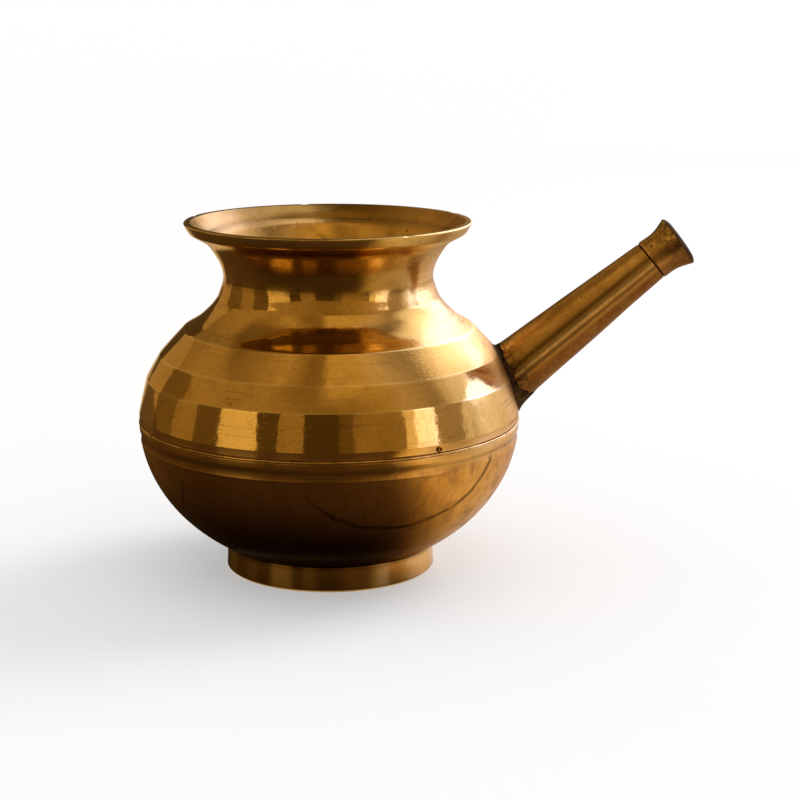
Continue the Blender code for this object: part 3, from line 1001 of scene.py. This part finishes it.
# Painted dark reflections: a band on the front of the neck and another on the front of the shoulder.
front_neck_reflection = times(band_mm(places["Z"], *FRONT_NECK_REFLECTION_BAND), ramp_mm(beside, *FRONT_NECK_REFLECTION_SIDE, 1.0, 0.0))
front_shoulder_reflection = times(band_mm(places["Z"], *FRONT_SHOULDER_REFLECTION_BAND), near_middle)
# Under the lip the polish is rougher, and its colour is darkened as painted shade.
haze_and_shade = ramp_mm(places["Z"], *HAZE_AND_SHADE_FROM_TO)
# Just under the lip's edge the colour is lightened as a painted highlight.
flare = ramp_mm(places["Z"], *FLARE_FROM_TO)
# The lip's outer band, with the rim, is darkened as painted shade.
lip_band = ramp_mm(places["Z"], *LIP_FROM_TO)
brushed = ramp_mm(places["X"], *BRUSHED_FROM_TO)
dulled = times(brushed, ramp_mm(places["Z"], *DULL_FROM_TO))
rubbed = ramp_mm(off_spout, *RUBBED_OFF_SPOUT, 1.0, 0.0)
near_root = ramp_mm(off_spout, *BROWN_OFF_SPOUT, 1.0, 0.0)
# Painted shade on the left of the inner wall.
left_shade = ramp_mm(places["X"], *LEFT_SHADE_FROM_TO, 1.0, 0.0)
left_shade = times(left_shade, ramp_mm(places["X"], *LEFT_SHADE_START, 0.4, 1.0))
inside, edge, dirt_and_shade, black_mark = marks(surface, "inside", "edge", "dirt_and_shade", "black_mark")
print("worn polish: places ready")

# %% Worn polish: textures
cloud = clouds(centred, 24.0, 0.42, 0.68)
smudge = clouds(centred, 52.0, 0.46, 0.64)
fine_cloud = clouds(centred, 110.0, 0.48, 0.74)
blotch = clouds(centred, 140.0, 0.63, 0.72)
grain = clouds(centred, 620.0, 0.50, 0.72)
scratch = effect(scratches, Vector=centred, Sparse=0.61)
speck, lathe = wear(centred, 560.0, 0.03, 1900.0)
circles = effect(lathe_lines, Vector=centred, Lines=620.0)
hairline = times(ramp(circles, 0.58, 0.66), ramp(cloud, 0.1, 0.9, 0.3, 1.0))
spark = times(grainy(centred, 1000.0, 3.0), ramp(brushed, 0.0, 1.0, 0.15, 1.0))
wave = grainy(centred, 100.0, 2.0)
# Dirt and painted shade in the marked corners, broken up by clouds.
dirt = times(dirt_and_shade, ramp(fine_cloud, 0.0, 0.6, 0.3, 0.6))
# Beside the spout's root the shoulder is darkened: partly soot, partly painted shade where spout and
# shoulder meet.
root_dark_here = ramp_mm(off_spout, *ROOT_DARK_REACH, 1.0, 0.0)
root_soot_and_shade = times(root_dark_here, ramp(grain, 0.0, 0.6, 0.5, 1.0))
spots = times(calc("MAXIMUM", speck, blotch), ramp(cloud, 0.0, 0.8, 0.05, 0.6))
inner_brown = calc("MULTIPLY", calc("ADD", fine_cloud, smudge), 0.4, clamp=True)
print("worn polish: textures ready")

# %% Worn polish: layers
FRONT_NECK_REFLECTION_BROWN = (0.37, 0.225, 0.05, 1.0)
UNDER_LIP_SHADE = (0.60, 0.42, 0.12, 1.0)
FLARE_HIGHLIGHT = (0.88, 0.66, 0.23, 1.0)
INNER_FLARE_SHADE = (0.36, 0.20, 0.04, 1.0)
LIP_BAND_SHADE = (0.46, 0.245, 0.05, 1.0)
LEFT_SHADE_BROWN = (0.25, 0.135, 0.04, 1.0)
# Inside the mouth, the middle of the flare is darkened as painted shade.
inner_layers = [
    (inner_brown, 1.0, BROWN), (left_shade, 0.88, LEFT_SHADE_BROWN),
    (times(flare, near_middle), 0.75, INNER_FLARE_SHADE),
]
polish_layers = [
    (cloud, 0.4, DEEP_GOLD), (fine_cloud, 0.35, BROWN), (grain, 0.36, BROWN), (hairline, 0.75, BROWN),
    (haze_and_shade, 0.6, UNDER_LIP_SHADE), (front_neck_reflection, 0.8, FRONT_NECK_REFLECTION_BROWN), (front_shoulder_reflection, 0.6, BROWN), (flare, 1.0, FLARE_HIGHLIGHT),
    (lip_band, 0.6, LIP_BAND_SHADE), (inside, 1.0, layered(INSIDE_GOLD, inner_layers)),
    (edge, 0.55, BRIGHT_EDGE), (dirt, 1.0, DARK_BROWN), (near_root, 0.75, BROWN),
    (root_soot_and_shade, 1.0, DARK_BROWN), (spots, 1.0, DARK_BROWN), (scratch, 0.2, BROWN), (black_mark, 1.0, BLACK_MARK_COLOUR),
]
polish_rough = [
    (cloud, 0.025), (fine_cloud, 0.04), (grain, 0.04), (hairline, 0.09), (haze_and_shade, 0.10), (front_neck_reflection, 0.12),
    (rubbed, 0.34), (dulled, 0.16), (inside, 0.06), (smudge, 0.02), (scratch, 0.12), (spots, 0.25),
    (root_soot_and_shade, 0.3), (black_mark, 0.5),
]
polish_heights = [
    (wave, 0.22, 0.6), (lathe, 0.01, 0.5), (spark, 0.03, 0.6), (hairline, 0.01, -0.5),
    (scratch, 0.02, -0.4), (spots, 0.04, -0.5),
]
colour = layered(GOLD, polish_layers)
rough = roughened(0.035, polish_rough)
dress(worn_polish, surface, colour, rough, polish_heights, upper_body)

# %% [markdown]
# ## Bright brass in the belly seam
# The filed filler is a paler alloy and catches the light as one thin line. It is too narrow to show much
# texture, so clouds of brown, which are also rougher, are all that it gets.

# %% Seam brass
PALE_BRASS = (0.74, 0.50, 0.21, 1.0)
seam_brass, surface, centred = new_metal("seam_brass")
cloud = clouds(centred, 160.0, 0.42, 0.68)
colour = layered(PALE_BRASS, [(cloud, 0.7, BROWN)])
rough = ramp(cloud, 0.0, 1.0, 0.18, 0.32)
dress(seam_brass, surface, colour, rough, [], belly_braze)

# %% [markdown]
# ## Brown patina on the bowl
# The patina is brown. Painted shade makes it nearly black low down on the far side from the spout, and
# painted light makes it paler towards the spout, on the window's side, along the far left, and on the
# window's side of the polished band. A dark curved line crosses the front. It could be a curve laid on the
# bowl, but a plane cuts a round bowl in just such a line, so the line is where a plane meets it, broken up
# by the clouds. An upright streak on the left is drawn in the same way.

# %% Brown patina: the places that differ
POLISHED_FROM_TO = (58.8, 60.8)
SPOUT_SIDE_FROM_TO = (-12.0, 54.0)
FAR_SIDE_FROM_TO = (-74.0, -52.0)
LOW_SHADE_FROM_TO = (20.0, 52.0)
ARC_FACING = (0.367, -0.918, 0.151)
ARC_AWAY = 77.1
ARC_WIDTH = (0.1, 1.2)
ARC_FROM_TO = (-14.0, 4.0)
STREAK_PLACE = -60.9
STREAK_WIDTH = (0.1, 0.6)
STREAK_BAND = (33.0, 39.0, 50.0, 55.0)
LINE_WANDER = 1.2
brown_patina, surface, centred = new_metal("brown_patina")
places = put("ShaderNodeSeparateXYZ", {0: centred}).outputs
cloud = clouds(centred, 24.0, 0.40, 0.66)
fine_cloud = clouds(centred, 130.0, 0.44, 0.70)
wander = times(calc("SUBTRACT", cloud, 0.5), LINE_WANDER * MM)


def thin_line(across, place, width):
    """1 on a thin wandering line, where a coordinate equals a place in millimetres."""
    off_line = calc("ADD", calc("SUBTRACT", across, place * MM), wander)
    return ramp_mm(calc("ABSOLUTE", off_line), *width, 1.0, 0.0)


polished = ramp_mm(places["Z"], *POLISHED_FROM_TO)
# Painted light and shade by side and height: paler towards the spout, on the window's side, and along the
# far left; nearly black low down, most of all away from the window.
spout_side = ramp_mm(places["X"], *SPOUT_SIDE_FROM_TO)
far_side = ramp_mm(places["X"], *FAR_SIDE_FROM_TO, 1.0, 0.0)
low_down = ramp_mm(places["Z"], *LOW_SHADE_FROM_TO, 1.0, 0.0)
low_shade = times(low_down, ramp(spout_side, 0.25, 0.95, 0.97, 0.3))
# Two dark lines: a curve where a plane cuts the bowl, and an upright streak on the left.
depth = vector_calc("DOT_PRODUCT", centred, ARC_FACING, "Value")
arc_reach = ramp_mm(places["X"], *ARC_FROM_TO, 0.0, 0.8)
dark_lines = times(thin_line(depth, ARC_AWAY, ARC_WIDTH), arc_reach)
dark_lines = times(dark_lines, ramp(fine_cloud, 0.0, 0.8, 1.0, 0.45))
streak = thin_line(places["X"], STREAK_PLACE, STREAK_WIDTH)
streak = times(streak, band_mm(places["Z"], *STREAK_BAND))
dark_lines = calc("MAXIMUM", dark_lines, times(streak, 0.6))
print("brown patina: places ready")

# %% Brown patina: layers
PATINA = (0.46, 0.25, 0.075, 1.0)
NEAR_BLACK_BROWN = (0.034, 0.013, 0.004, 1.0)
WINDOW_SIDE_LIGHT = (0.76, 0.395, 0.088, 1.0)
WIPED_BROWN = (0.27, 0.13, 0.034, 1.0)
CLOUD_BROWN = (0.24, 0.115, 0.03, 1.0)
inside, edge, dirt_and_shade = marks(surface, "inside", "edge", "dirt_and_shade")
scratch = effect(scratches, Vector=centred, Sparse=0.64)
speck, lathe = wear(centred, 430.0, 0.03, 1500.0)
wipes = grainy(stretched(centred, (320.0, 320.0, 20.0)), 1.0, 4.0, 0.6)
# The window-side, far-left and polished-band blends are painted light, and the low near-black layer is
# painted shade.
patina_layers = [
    (cloud, 0.6, BROWN), (far_side, 0.6, GOLD), (spout_side, 0.85, WINDOW_SIDE_LIGHT),
    (ramp(wipes, 0.40, 0.62), 0.28, WIPED_BROWN), (fine_cloud, 0.4, CLOUD_BROWN), (low_shade, 1.0, NEAR_BLACK_BROWN),
    (dark_lines, 1.0, NEAR_BLACK_BROWN), (scratch, 0.15, DEEP_GOLD),
    (polished, 0.8, blend(spout_side, DEEP_GOLD, GOLD)), (inside, 1.0, INSIDE_GOLD),
    (edge, 0.5, GOLD), (dirt_and_shade, 0.4, DARK_BROWN), (speck, 0.6, DARK_BROWN),
]
patina_heights = [(lathe, 0.02, 0.6), (scratch, 0.03, -0.4), (wipes, 0.03, 0.3), (dark_lines, 0.08, -0.5)]
colour = layered(PATINA, patina_layers)
rough = roughened(0.28, [(fine_cloud, 0.14), (polished, -0.10)])
dress(brown_patina, surface, colour, rough, patina_heights, lower_bowl)

# %% [markdown]
# ## Plain brass on the foot
# The foot is plain brass with a few clouds, and is darker in the corner under the bowl, partly from dirt
# and partly as painted shade. The marks on its vertices already say where its edges and that corner are, so
# no heights or distances have to be measured here.

# %% Foot brass
FOOT_GOLD = (0.70, 0.42, 0.13, 1.0)
FOOT_BROWN = (0.52, 0.29, 0.08, 1.0)
foot_brass, surface, centred = new_metal("foot_brass")
inside, edge, dirt_and_shade = marks(surface, "inside", "edge", "dirt_and_shade")
cloud = clouds(centred, 48.0, 0.4, 0.66)
speck, lathe = wear(centred, 520.0, 0.04, 1500.0)
foot_layers = [
    (cloud, 1.0, FOOT_BROWN), (inside, 1.0, BROWN), (edge, 0.2, GOLD), (dirt_and_shade, 0.8, DARK_BROWN),
    (speck, 0.6, DARK_BROWN),
]
colour = layered(FOOT_GOLD, foot_layers)
rough = roughened(0.09, [(cloud, 0.09)])
dress(foot_brass, surface, colour, rough, [(lathe, 0.02, 0.5), (speck, 0.05, -0.5)], foot_ring)

# %% [markdown]
# ## Satin brass on the spout
# The tube's fine strokes run along it, as filing leaves them. Its underside is darker brown, which is
# painted shade, and the rolled seam shows as a pale line between two darker ones, which are partly dirt and
# partly painted shade. Anisotropic shading could stand for the strokes. Noise drawn out along the tube can
# also colour and raise them, so it is used instead, on coordinates turned into the spout's own frame.

# %% Spout satin: places and textures
UNDERSIDE_FROM_TO = (-1.0, 5.0)
ROOT_DIRT_FROM_TO = (2.0, 13.0)
TIP_DIRT_FROM_TO = (78.0, 90.0)
spout_satin, surface, centred = new_metal("spout_satin", SPOUT_ROOT, spout_turn)
places = put("ShaderNodeSeparateXYZ", {0: centred}).outputs
strokes = grainy(stretched(centred, (900.0, 900.0, 14.0)), 1.0, 3.0, 0.6)
bands = grainy(stretched(centred, (150.0, 150.0, 10.0)), 1.0, 4.0, 0.6)
cloud = clouds(centred, 60.0, 0.42, 0.66)
grain = clouds(centred, 420.0, 0.40, 0.66)
speck = effect(specks, Vector=centred, Scale=520.0, Share=0.05)
scratch = effect(scratches, Vector=centred, Sparse=0.60)
seam, dirt_and_shade, black_mark = marks(surface, "seam", "dirt_and_shade", "black_mark")
# Painted shade on the tube's underside.
underside = ramp_mm(places["X"], *UNDERSIDE_FROM_TO)
root_dirt = ramp_mm(places["Z"], *ROOT_DIRT_FROM_TO, 1.0, 0.0)
tip_dirt = ramp_mm(places["Z"], *TIP_DIRT_FROM_TO, 0.0, 0.8)
dirt = times(calc("MAXIMUM", root_dirt, tip_dirt), ramp(grain, 0.0, 0.7, 0.35, 0.9))
pale_seam = times(seam, ramp(strokes, 0.3, 0.6, 0.35, 0.9))
print("spout satin: places and textures ready")

# %% Spout satin: layers
SATIN_DULL = (0.68, 0.39, 0.12, 1.0)
SATIN_BRIGHT = (0.98, 0.62, 0.24, 1.0)
UNDERSIDE_SHADE = (0.17, 0.055, 0.006, 1.0)
SEAM_PALE = (0.92, 0.70, 0.40, 1.0)
satin_layers = [
    (ramp(bands, 0.36, 0.64), 1.0, SATIN_BRIGHT), (underside, 0.95, UNDERSIDE_SHADE),
    (cloud, 0.4, BROWN), (grain, 0.35, BROWN), (ramp(strokes, 0.56, 0.7), 0.35, DEEP_GOLD),
    (pale_seam, 1.0, SEAM_PALE), (dirt_and_shade, 0.5, DARK_BROWN), (speck, 0.7, DARK_BROWN),
    (dirt, 1.0, DARK_BROWN), (black_mark, 1.0, BLACK_MARK_COLOUR),
]
satin_heights = [(strokes, 0.04, 0.6), (grain, 0.04, 0.5), (scratch, 0.03, -0.5), (speck, 0.05, -0.5)]
colour = layered(SATIN_DULL, satin_layers)
rough = roughened(0.29, [(grain, 0.10), (black_mark, 0.3)])
dress(spout_satin, surface, colour, rough, satin_heights, spout_tube, spout_nozzle)

# %% [markdown]
# ## Blackened filler
# The filler round the spout's root looks burnt and uncleaned: nearly black, dull and gritty. Its lumps
# are already in the mesh, so the finish adds only some brown and the grit, which is one fine noise for
# both the bumps and the roughness. The other two fillers that get this finish are taken to look the same.

# %% Black filler
FILLER_BLACK = (0.022, 0.012, 0.006, 1.0)
FILLER_BROWN = (0.10, 0.052, 0.018, 1.0)
black_filler, surface, centred = new_metal("black_filler")
cloud = clouds(centred, 220.0, 0.38, 0.66)
grit = grainy(centred, 900.0, 5.0, 0.7)
colour = blend(cloud, FILLER_BLACK, FILLER_BROWN)
rough = ramp(grit, 0.3, 0.7, 0.45, 0.75)
dress(black_filler, surface, colour, rough, [(grit, 0.3, 0.8)], spout_solder, nozzle_solder, foot_braze)

# %% [markdown]
# ## The studio
# Polished metal shows the room more than itself, so the room is part of the look. A photographer
# surrounds such a pot with pale and dark cards and lets the floor and background go white. The cards here
# are seen only in reflections.

# %% Floor and background
FLOOR_SIZE = 40.0
SKY_ON_FLOOR = 0.78
FLOOR_PAINT = 0.66
FLOOR_GLOW = 0.32
WHITE = (1.0, 1.0, 1.0, 1.0)


def seen_in_picture(tree):
    """1 for what the camera sees directly, in a reflection or through glass, and 0 for scattered light."""
    path = put("ShaderNodeLightPath", {}, tree).outputs
    seen = calc("MAXIMUM", path["Is Camera Ray"], path["Is Glossy Ray"])
    return calc("MAXIMUM", seen, path["Is Transmission Ray"])


def new_paint(name):
    """A plain material; returns it with its tree and its shader."""
    paint = bpy.data.materials.new(name)
    paint.use_nodes = True
    return paint, paint.node_tree, paint.node_tree.nodes["Principled BSDF"]


floor_shape = bmesh.new()
bmesh.ops.create_grid(floor_shape, x_segments=1, y_segments=1, size=FLOOR_SIZE / 2)
floor = into_object(floor_shape, "floor")
floor_paint, tree, surface = new_paint("floor_paint")
floor_inputs = {
    "Base Color": (FLOOR_PAINT, FLOOR_PAINT, FLOOR_PAINT, 1.0), "Roughness": 0.9, "Specular IOR Level": 0.1,
    "Emission Color": WHITE, "Emission Strength": times(seen_in_picture(tree), FLOOR_GLOW),
}
fill(surface, floor_inputs)
floor.data.materials.append(floor_paint)

world = bpy.data.worlds.new("studio")
bpy.context.scene.world = world
world.use_nodes = True
tree = world.node_tree
brighter = times(seen_in_picture(tree), 1.0 - SKY_ON_FLOOR)
sky_inputs = {"Color": WHITE, "Strength": calc("ADD", SKY_ON_FLOOR, brighter)}
fill(tree.nodes["Background"], sky_inputs)
print("floor", FLOOR_SIZE, "m")

# %% [markdown]
# ## Cards that show only in reflections
# Daylight comes from the right and is cool here, and the rest of the room is lit by warm lamps. Area
# lamps could do this, but they would also light the floor. A card that glows and hides from everything
# but reflections changes little but the metal. Each place on a card stores the colour of the light that
# it sends out.

# %% The colour of the light
WARM_STOPS = [(-180, 0.5), (-115, 0.9), (36, 1.0), (94, 0.0), (180, 0.0)]
DIM_LAMP, LIT_LAMP = Vector((1.0, 0.58, 0.12)), Vector((1.0, 0.75, 0.28))
DIM_DAY, LIT_DAY, FULL_DAY = Vector((1.0, 0.72, 0.38)), Vector((1.0, 0.97, 1.0)), Vector((1.0, 1.15, 2.3))
FULL_DAY_FROM_TO = (0.9, 2.2)
ROOM_MIDDLE = 0.09


def between(stops, value):
    """Read a value off a line of (position, height) stops."""
    for (left, low), (right, high) in zip(stops, stops[1:]):
        if value <= right:
            share = max(0.0, (value - left) / (right - left))
            return low + (high - low) * share
    return stops[-1][1]


def compass(place):
    """Degrees round the pot from the camera's side, rising to the right."""
    return math.degrees(math.atan2(place.x - AXIS_X, -place.y))


def climb(place):
    """Degrees above the horizon, seen from the middle of the pot."""
    return math.degrees(math.atan2(place.z - ROOM_MIDDLE, math.hypot(place.x - AXIS_X, place.y)))


def tint(bright, warmth):
    """The colour of light: cool where daylight is strong, and warmer the dimmer it gets."""
    share = min(1.0, bright)
    lamp = DIM_LAMP.lerp(LIT_LAMP, share)
    day = DIM_DAY.lerp(LIT_DAY, share).lerp(FULL_DAY, step_up(bright, *FULL_DAY_FROM_TO))
    return day.lerp(lamp, warmth)


print("dim lamp light is", [round(value, 2) for value in tint(0.1, 1.0)])

# %% Paint and hang a card


def glow(name, base=(0.0, 0.0, 0.0, 1.0), mirror=0.0, rough=0.5):
    """Paint that shines with the colour that the card stores at each place."""
    paint, tree, surface = new_paint(name)
    stored = put("ShaderNodeAttribute", {}, tree, attribute_name="glow").outputs["Color"]
    glow_inputs = {
        "Base Color": base, "Specular IOR Level": mirror, "Roughness": rough, "Emission Color": stored,
        "Emission Strength": 1.0,
    }
    fill(surface, glow_inputs)
    return paint


def hang_card(shape, name, brightness, paint):
    """Hang a card where only reflections can find it; its brightness is a function of a place on it."""
    stored = shape.verts.layers.float_vector.new("glow")
    for vert in shape.verts:
        bright = brightness(vert.co)
        vert[stored] = bright * tint(bright, between(WARM_STOPS, compass(vert.co)))
    card = into_object(shape, name)
    card.data.materials.append(paint)
    card.visible_camera = False
    card.visible_diffuse = False
    card.visible_shadow = False
    card.visible_transmission = False


def spin_line(line, start, turn, steps, merge):
    """Spin a line of (distance, height) points, in metres, round the pot from a compass bearing."""
    shape = bmesh.new()
    side, ahead = math.sin(math.radians(start)), -math.cos(math.radians(start))
    join_up(shape, [(AXIS_X + side * away, ahead * away, height) for away, height in line])
    spin_round(shape, AXIS_X, math.radians(turn), steps, merge)
    return shape


card_paint = glow("card_paint")
print("card paint ready")

# %% [markdown]
# ## Upright cards
# Pale and dark cards stand in turn round the pot and give it its upright bands of light. A picture
# wrapped round the scene would show more detail, but plain cards are easier to move one at a time. A card
# starts at its compass bearing, has one brightness and ends where the next card starts. The window stands
# on the right, after the last card.

# %% Stand the cards
CARD_AWAY = 1.7
CARD_FOOT, CARD_TOP = -0.1, 0.84
CARD_STEP = 3
CARDS = [
    (-180, 0.10), (-152, 0.50), (-128, 0.20), (-105, 0.36), (-86, 0.15), (-68, 0.90), (-43, 0.10),
    (-30, 0.36), (-15, 0.08), (6, 0.16), (14, 0.34), (45, 1.00), (52, 2.00), (66, 0.42), (86, 0.90),
]
WINDOW_FROM, WINDOW_TO = 93, 180


def even(value):
    """The brightness of a card that is lit evenly."""
    return lambda place: value


card_line = [(CARD_AWAY, CARD_FOOT), (CARD_AWAY, CARD_TOP)]
card_ends = [start for start, _ in CARDS[1:]] + [WINDOW_FROM]
for (start, brightness), end in zip(CARDS, card_ends):
    card_steps = max(2, int((end - start) / CARD_STEP))
    card_shape = spin_line(card_line, start, end - start, card_steps, False)
    hang_card(card_shape, f"wall_card_{start}", even(brightness), card_paint)
print(len(CARDS), "upright cards")

# %% [markdown]
# ## A window
# The window fades out towards the back, and the wall under its sill is darker. It is one more card, with
# a brightness that changes from place to place.

# %% Hang the window
WINDOW_STOPS = [(93, 1.5), (102, 2.8), (150, 3.0), (172, 0.3), (180, 0.1)]
WINDOW_HEIGHTS = [CARD_FOOT, 0.1, 0.2, 0.3, 0.4, CARD_TOP]
WINDOW_STEPS = 43
SILL_LOW, SILL_HIGH = 2, 9
SILL_SHADE = 0.4


def window_brightness(place):
    shade = SILL_SHADE + (1.0 - SILL_SHADE) * step_up(climb(place), SILL_LOW, SILL_HIGH)
    return between(WINDOW_STOPS, compass(place)) * shade


window_line = [(CARD_AWAY, height) for height in WINDOW_HEIGHTS]
window_shape = spin_line(window_line, WINDOW_FROM, WINDOW_TO - WINDOW_FROM, WINDOW_STEPS, False)
hang_card(window_shape, "window_card", window_brightness, card_paint)
print("window hung")

# %% [markdown]
# ## A dark table
# The underside of the bowl is dark, as if the pot stood on a dark satin table, which mirrors the cards
# more fully the flatter it is seen. The white floor can't be that table, so a dark ring lies just above
# it where only reflections find it. A pool of daylight is painted into the ring's glow, on the side that is
# nearer the window and most of all close to the pot.

# %% Lay the table
TABLE_BROWN = (0.085, 0.045, 0.018, 1.0)
TABLE_MIRROR = 0.25
TABLE_ROUGH = 0.35
TABLE_RINGS = [45.7 * MM, 0.06, 0.08, 0.1, 0.15, 0.2, 0.3, 0.5, 1.8]
TABLE_STEPS = 120
TABLE_LIFT = 0.05 * MM
# The daylight on the table is a painted pool of light in its glow.
TABLE_DAYLIGHT, FAR_DAYLIGHT = 0.75, 0.5
DAYLIGHT_FROM, DAYLIGHT_TO = 0 * MM, 60 * MM
DAYLIGHT_NEAR, DAYLIGHT_FAR = 80 * MM, 200 * MM
WINDOW_BEARING = math.radians(122.0)


def table_brightness(place):
    towards = (place.x - AXIS_X) * math.sin(WINDOW_BEARING) - place.y * math.cos(WINDOW_BEARING)
    far = step_up(towards, DAYLIGHT_NEAR, DAYLIGHT_FAR)
    daylight = TABLE_DAYLIGHT + (FAR_DAYLIGHT - TABLE_DAYLIGHT) * far
    return daylight * step_up(towards, DAYLIGHT_FROM, DAYLIGHT_TO)


table_paint = glow("table_paint", TABLE_BROWN, TABLE_MIRROR, TABLE_ROUGH)
table_shape = spin_line([(away, TABLE_LIFT) for away in TABLE_RINGS], 0, 360, TABLE_STEPS, True)
hang_card(table_shape, "table_card", table_brightness, table_paint)
print("table laid")

# %% [markdown]
# ## A canopy over the cards
# The shoulder and the inside of the lip look upwards. Above the cards they find the upper wall with the
# top of the window, and then a ceiling that is lighter on the left, ahead of the pot on the right and
# over the window, with a darker beam between. The top of a sphere holds both, because brightness can
# follow its bearing and height.

# %% Hang the canopy
UPPER_WALL_STOPS = [
    (-180, 0.2), (-120, 0.42), (-50, 0.4), (0, 0.25), (58, 0.55), (78, 0.35),
    (90, 0.9), (124, 1.4), (138, 3.0), (152, 3.0), (172, 0.3), (180, 0.2),
]
CEILING_STOPS = [
    (-180, 0.1), (-110, 0.2), (-55, 0.5), (-28, 0.25), (-12, 0.27), (0, 0.6), (62, 0.65),
    (88, 0.35), (100, 0.3), (115, 1.1), (145, 1.3), (165, 0.4), (180, 0.1),
]
CEILING_LOW, CEILING_HIGH = 42, 50
ZENITH_LOW, ZENITH_HIGH = 82, 88
ZENITH_BRIGHTNESS = 0.2
CANOPY_RADIUS = 2.3
CANOPY_FOOT = (0, 0, 0.3)


def canopy_brightness(place):
    bearing, high = compass(place), climb(place)
    value = between(UPPER_WALL_STOPS, bearing)
    value += (between(CEILING_STOPS, bearing) - value) * step_up(high, CEILING_LOW, CEILING_HIGH)
    return value + (ZENITH_BRIGHTNESS - value) * step_up(high, ZENITH_LOW, ZENITH_HIGH)


canopy_shape = bmesh.new()
bmesh.ops.create_uvsphere(canopy_shape, u_segments=180, v_segments=80, radius=CANOPY_RADIUS)
canopy_parts = canopy_shape.verts[:] + canopy_shape.edges[:] + canopy_shape.faces[:]
bmesh.ops.bisect_plane(
    canopy_shape, geom=canopy_parts, plane_co=CANOPY_FOOT, plane_no=(0, 0, 1), clear_inner=True
)
hang_card(canopy_shape, "canopy", canopy_brightness, card_paint)
print("canopy hung")

# %% [markdown]
# ## The lamp
# One broad sun stands for the window behind the pot on the right. A sun lights the whole floor alike, so
# the background stays even, and its wide angle makes the soft shadow.

# %% Set the sun
KEY_CLIMB = math.radians(38.0)
SUN_ENERGY = 1.2
SUN_ANGLE = math.radians(32.0)
SUN_COLOUR = (1.0, 0.96, 0.90)
key_side = math.sin(WINDOW_BEARING) * math.cos(KEY_CLIMB)
key_ahead = -math.cos(WINDOW_BEARING) * math.cos(KEY_CLIMB)
towards_key = Vector((key_side, key_ahead, math.sin(KEY_CLIMB)))
sun_data = bpy.data.lights.new("window_sun", "SUN")
sun_data.energy = SUN_ENERGY
sun_data.angle = SUN_ANGLE
sun_data.color = SUN_COLOUR
sun = bpy.data.objects.new("window_sun", sun_data)
sun.location = Vector((AXIS_X, 0.0, 0.1)) + towards_key
sun.rotation_euler = towards_key.to_track_quat("Z", "Y").to_euler()
bpy.context.scene.collection.objects.link(sun)
bpy.context.scene.view_settings.view_transform = "Standard"
print("sun at", [round(value, 2) for value in sun.location])
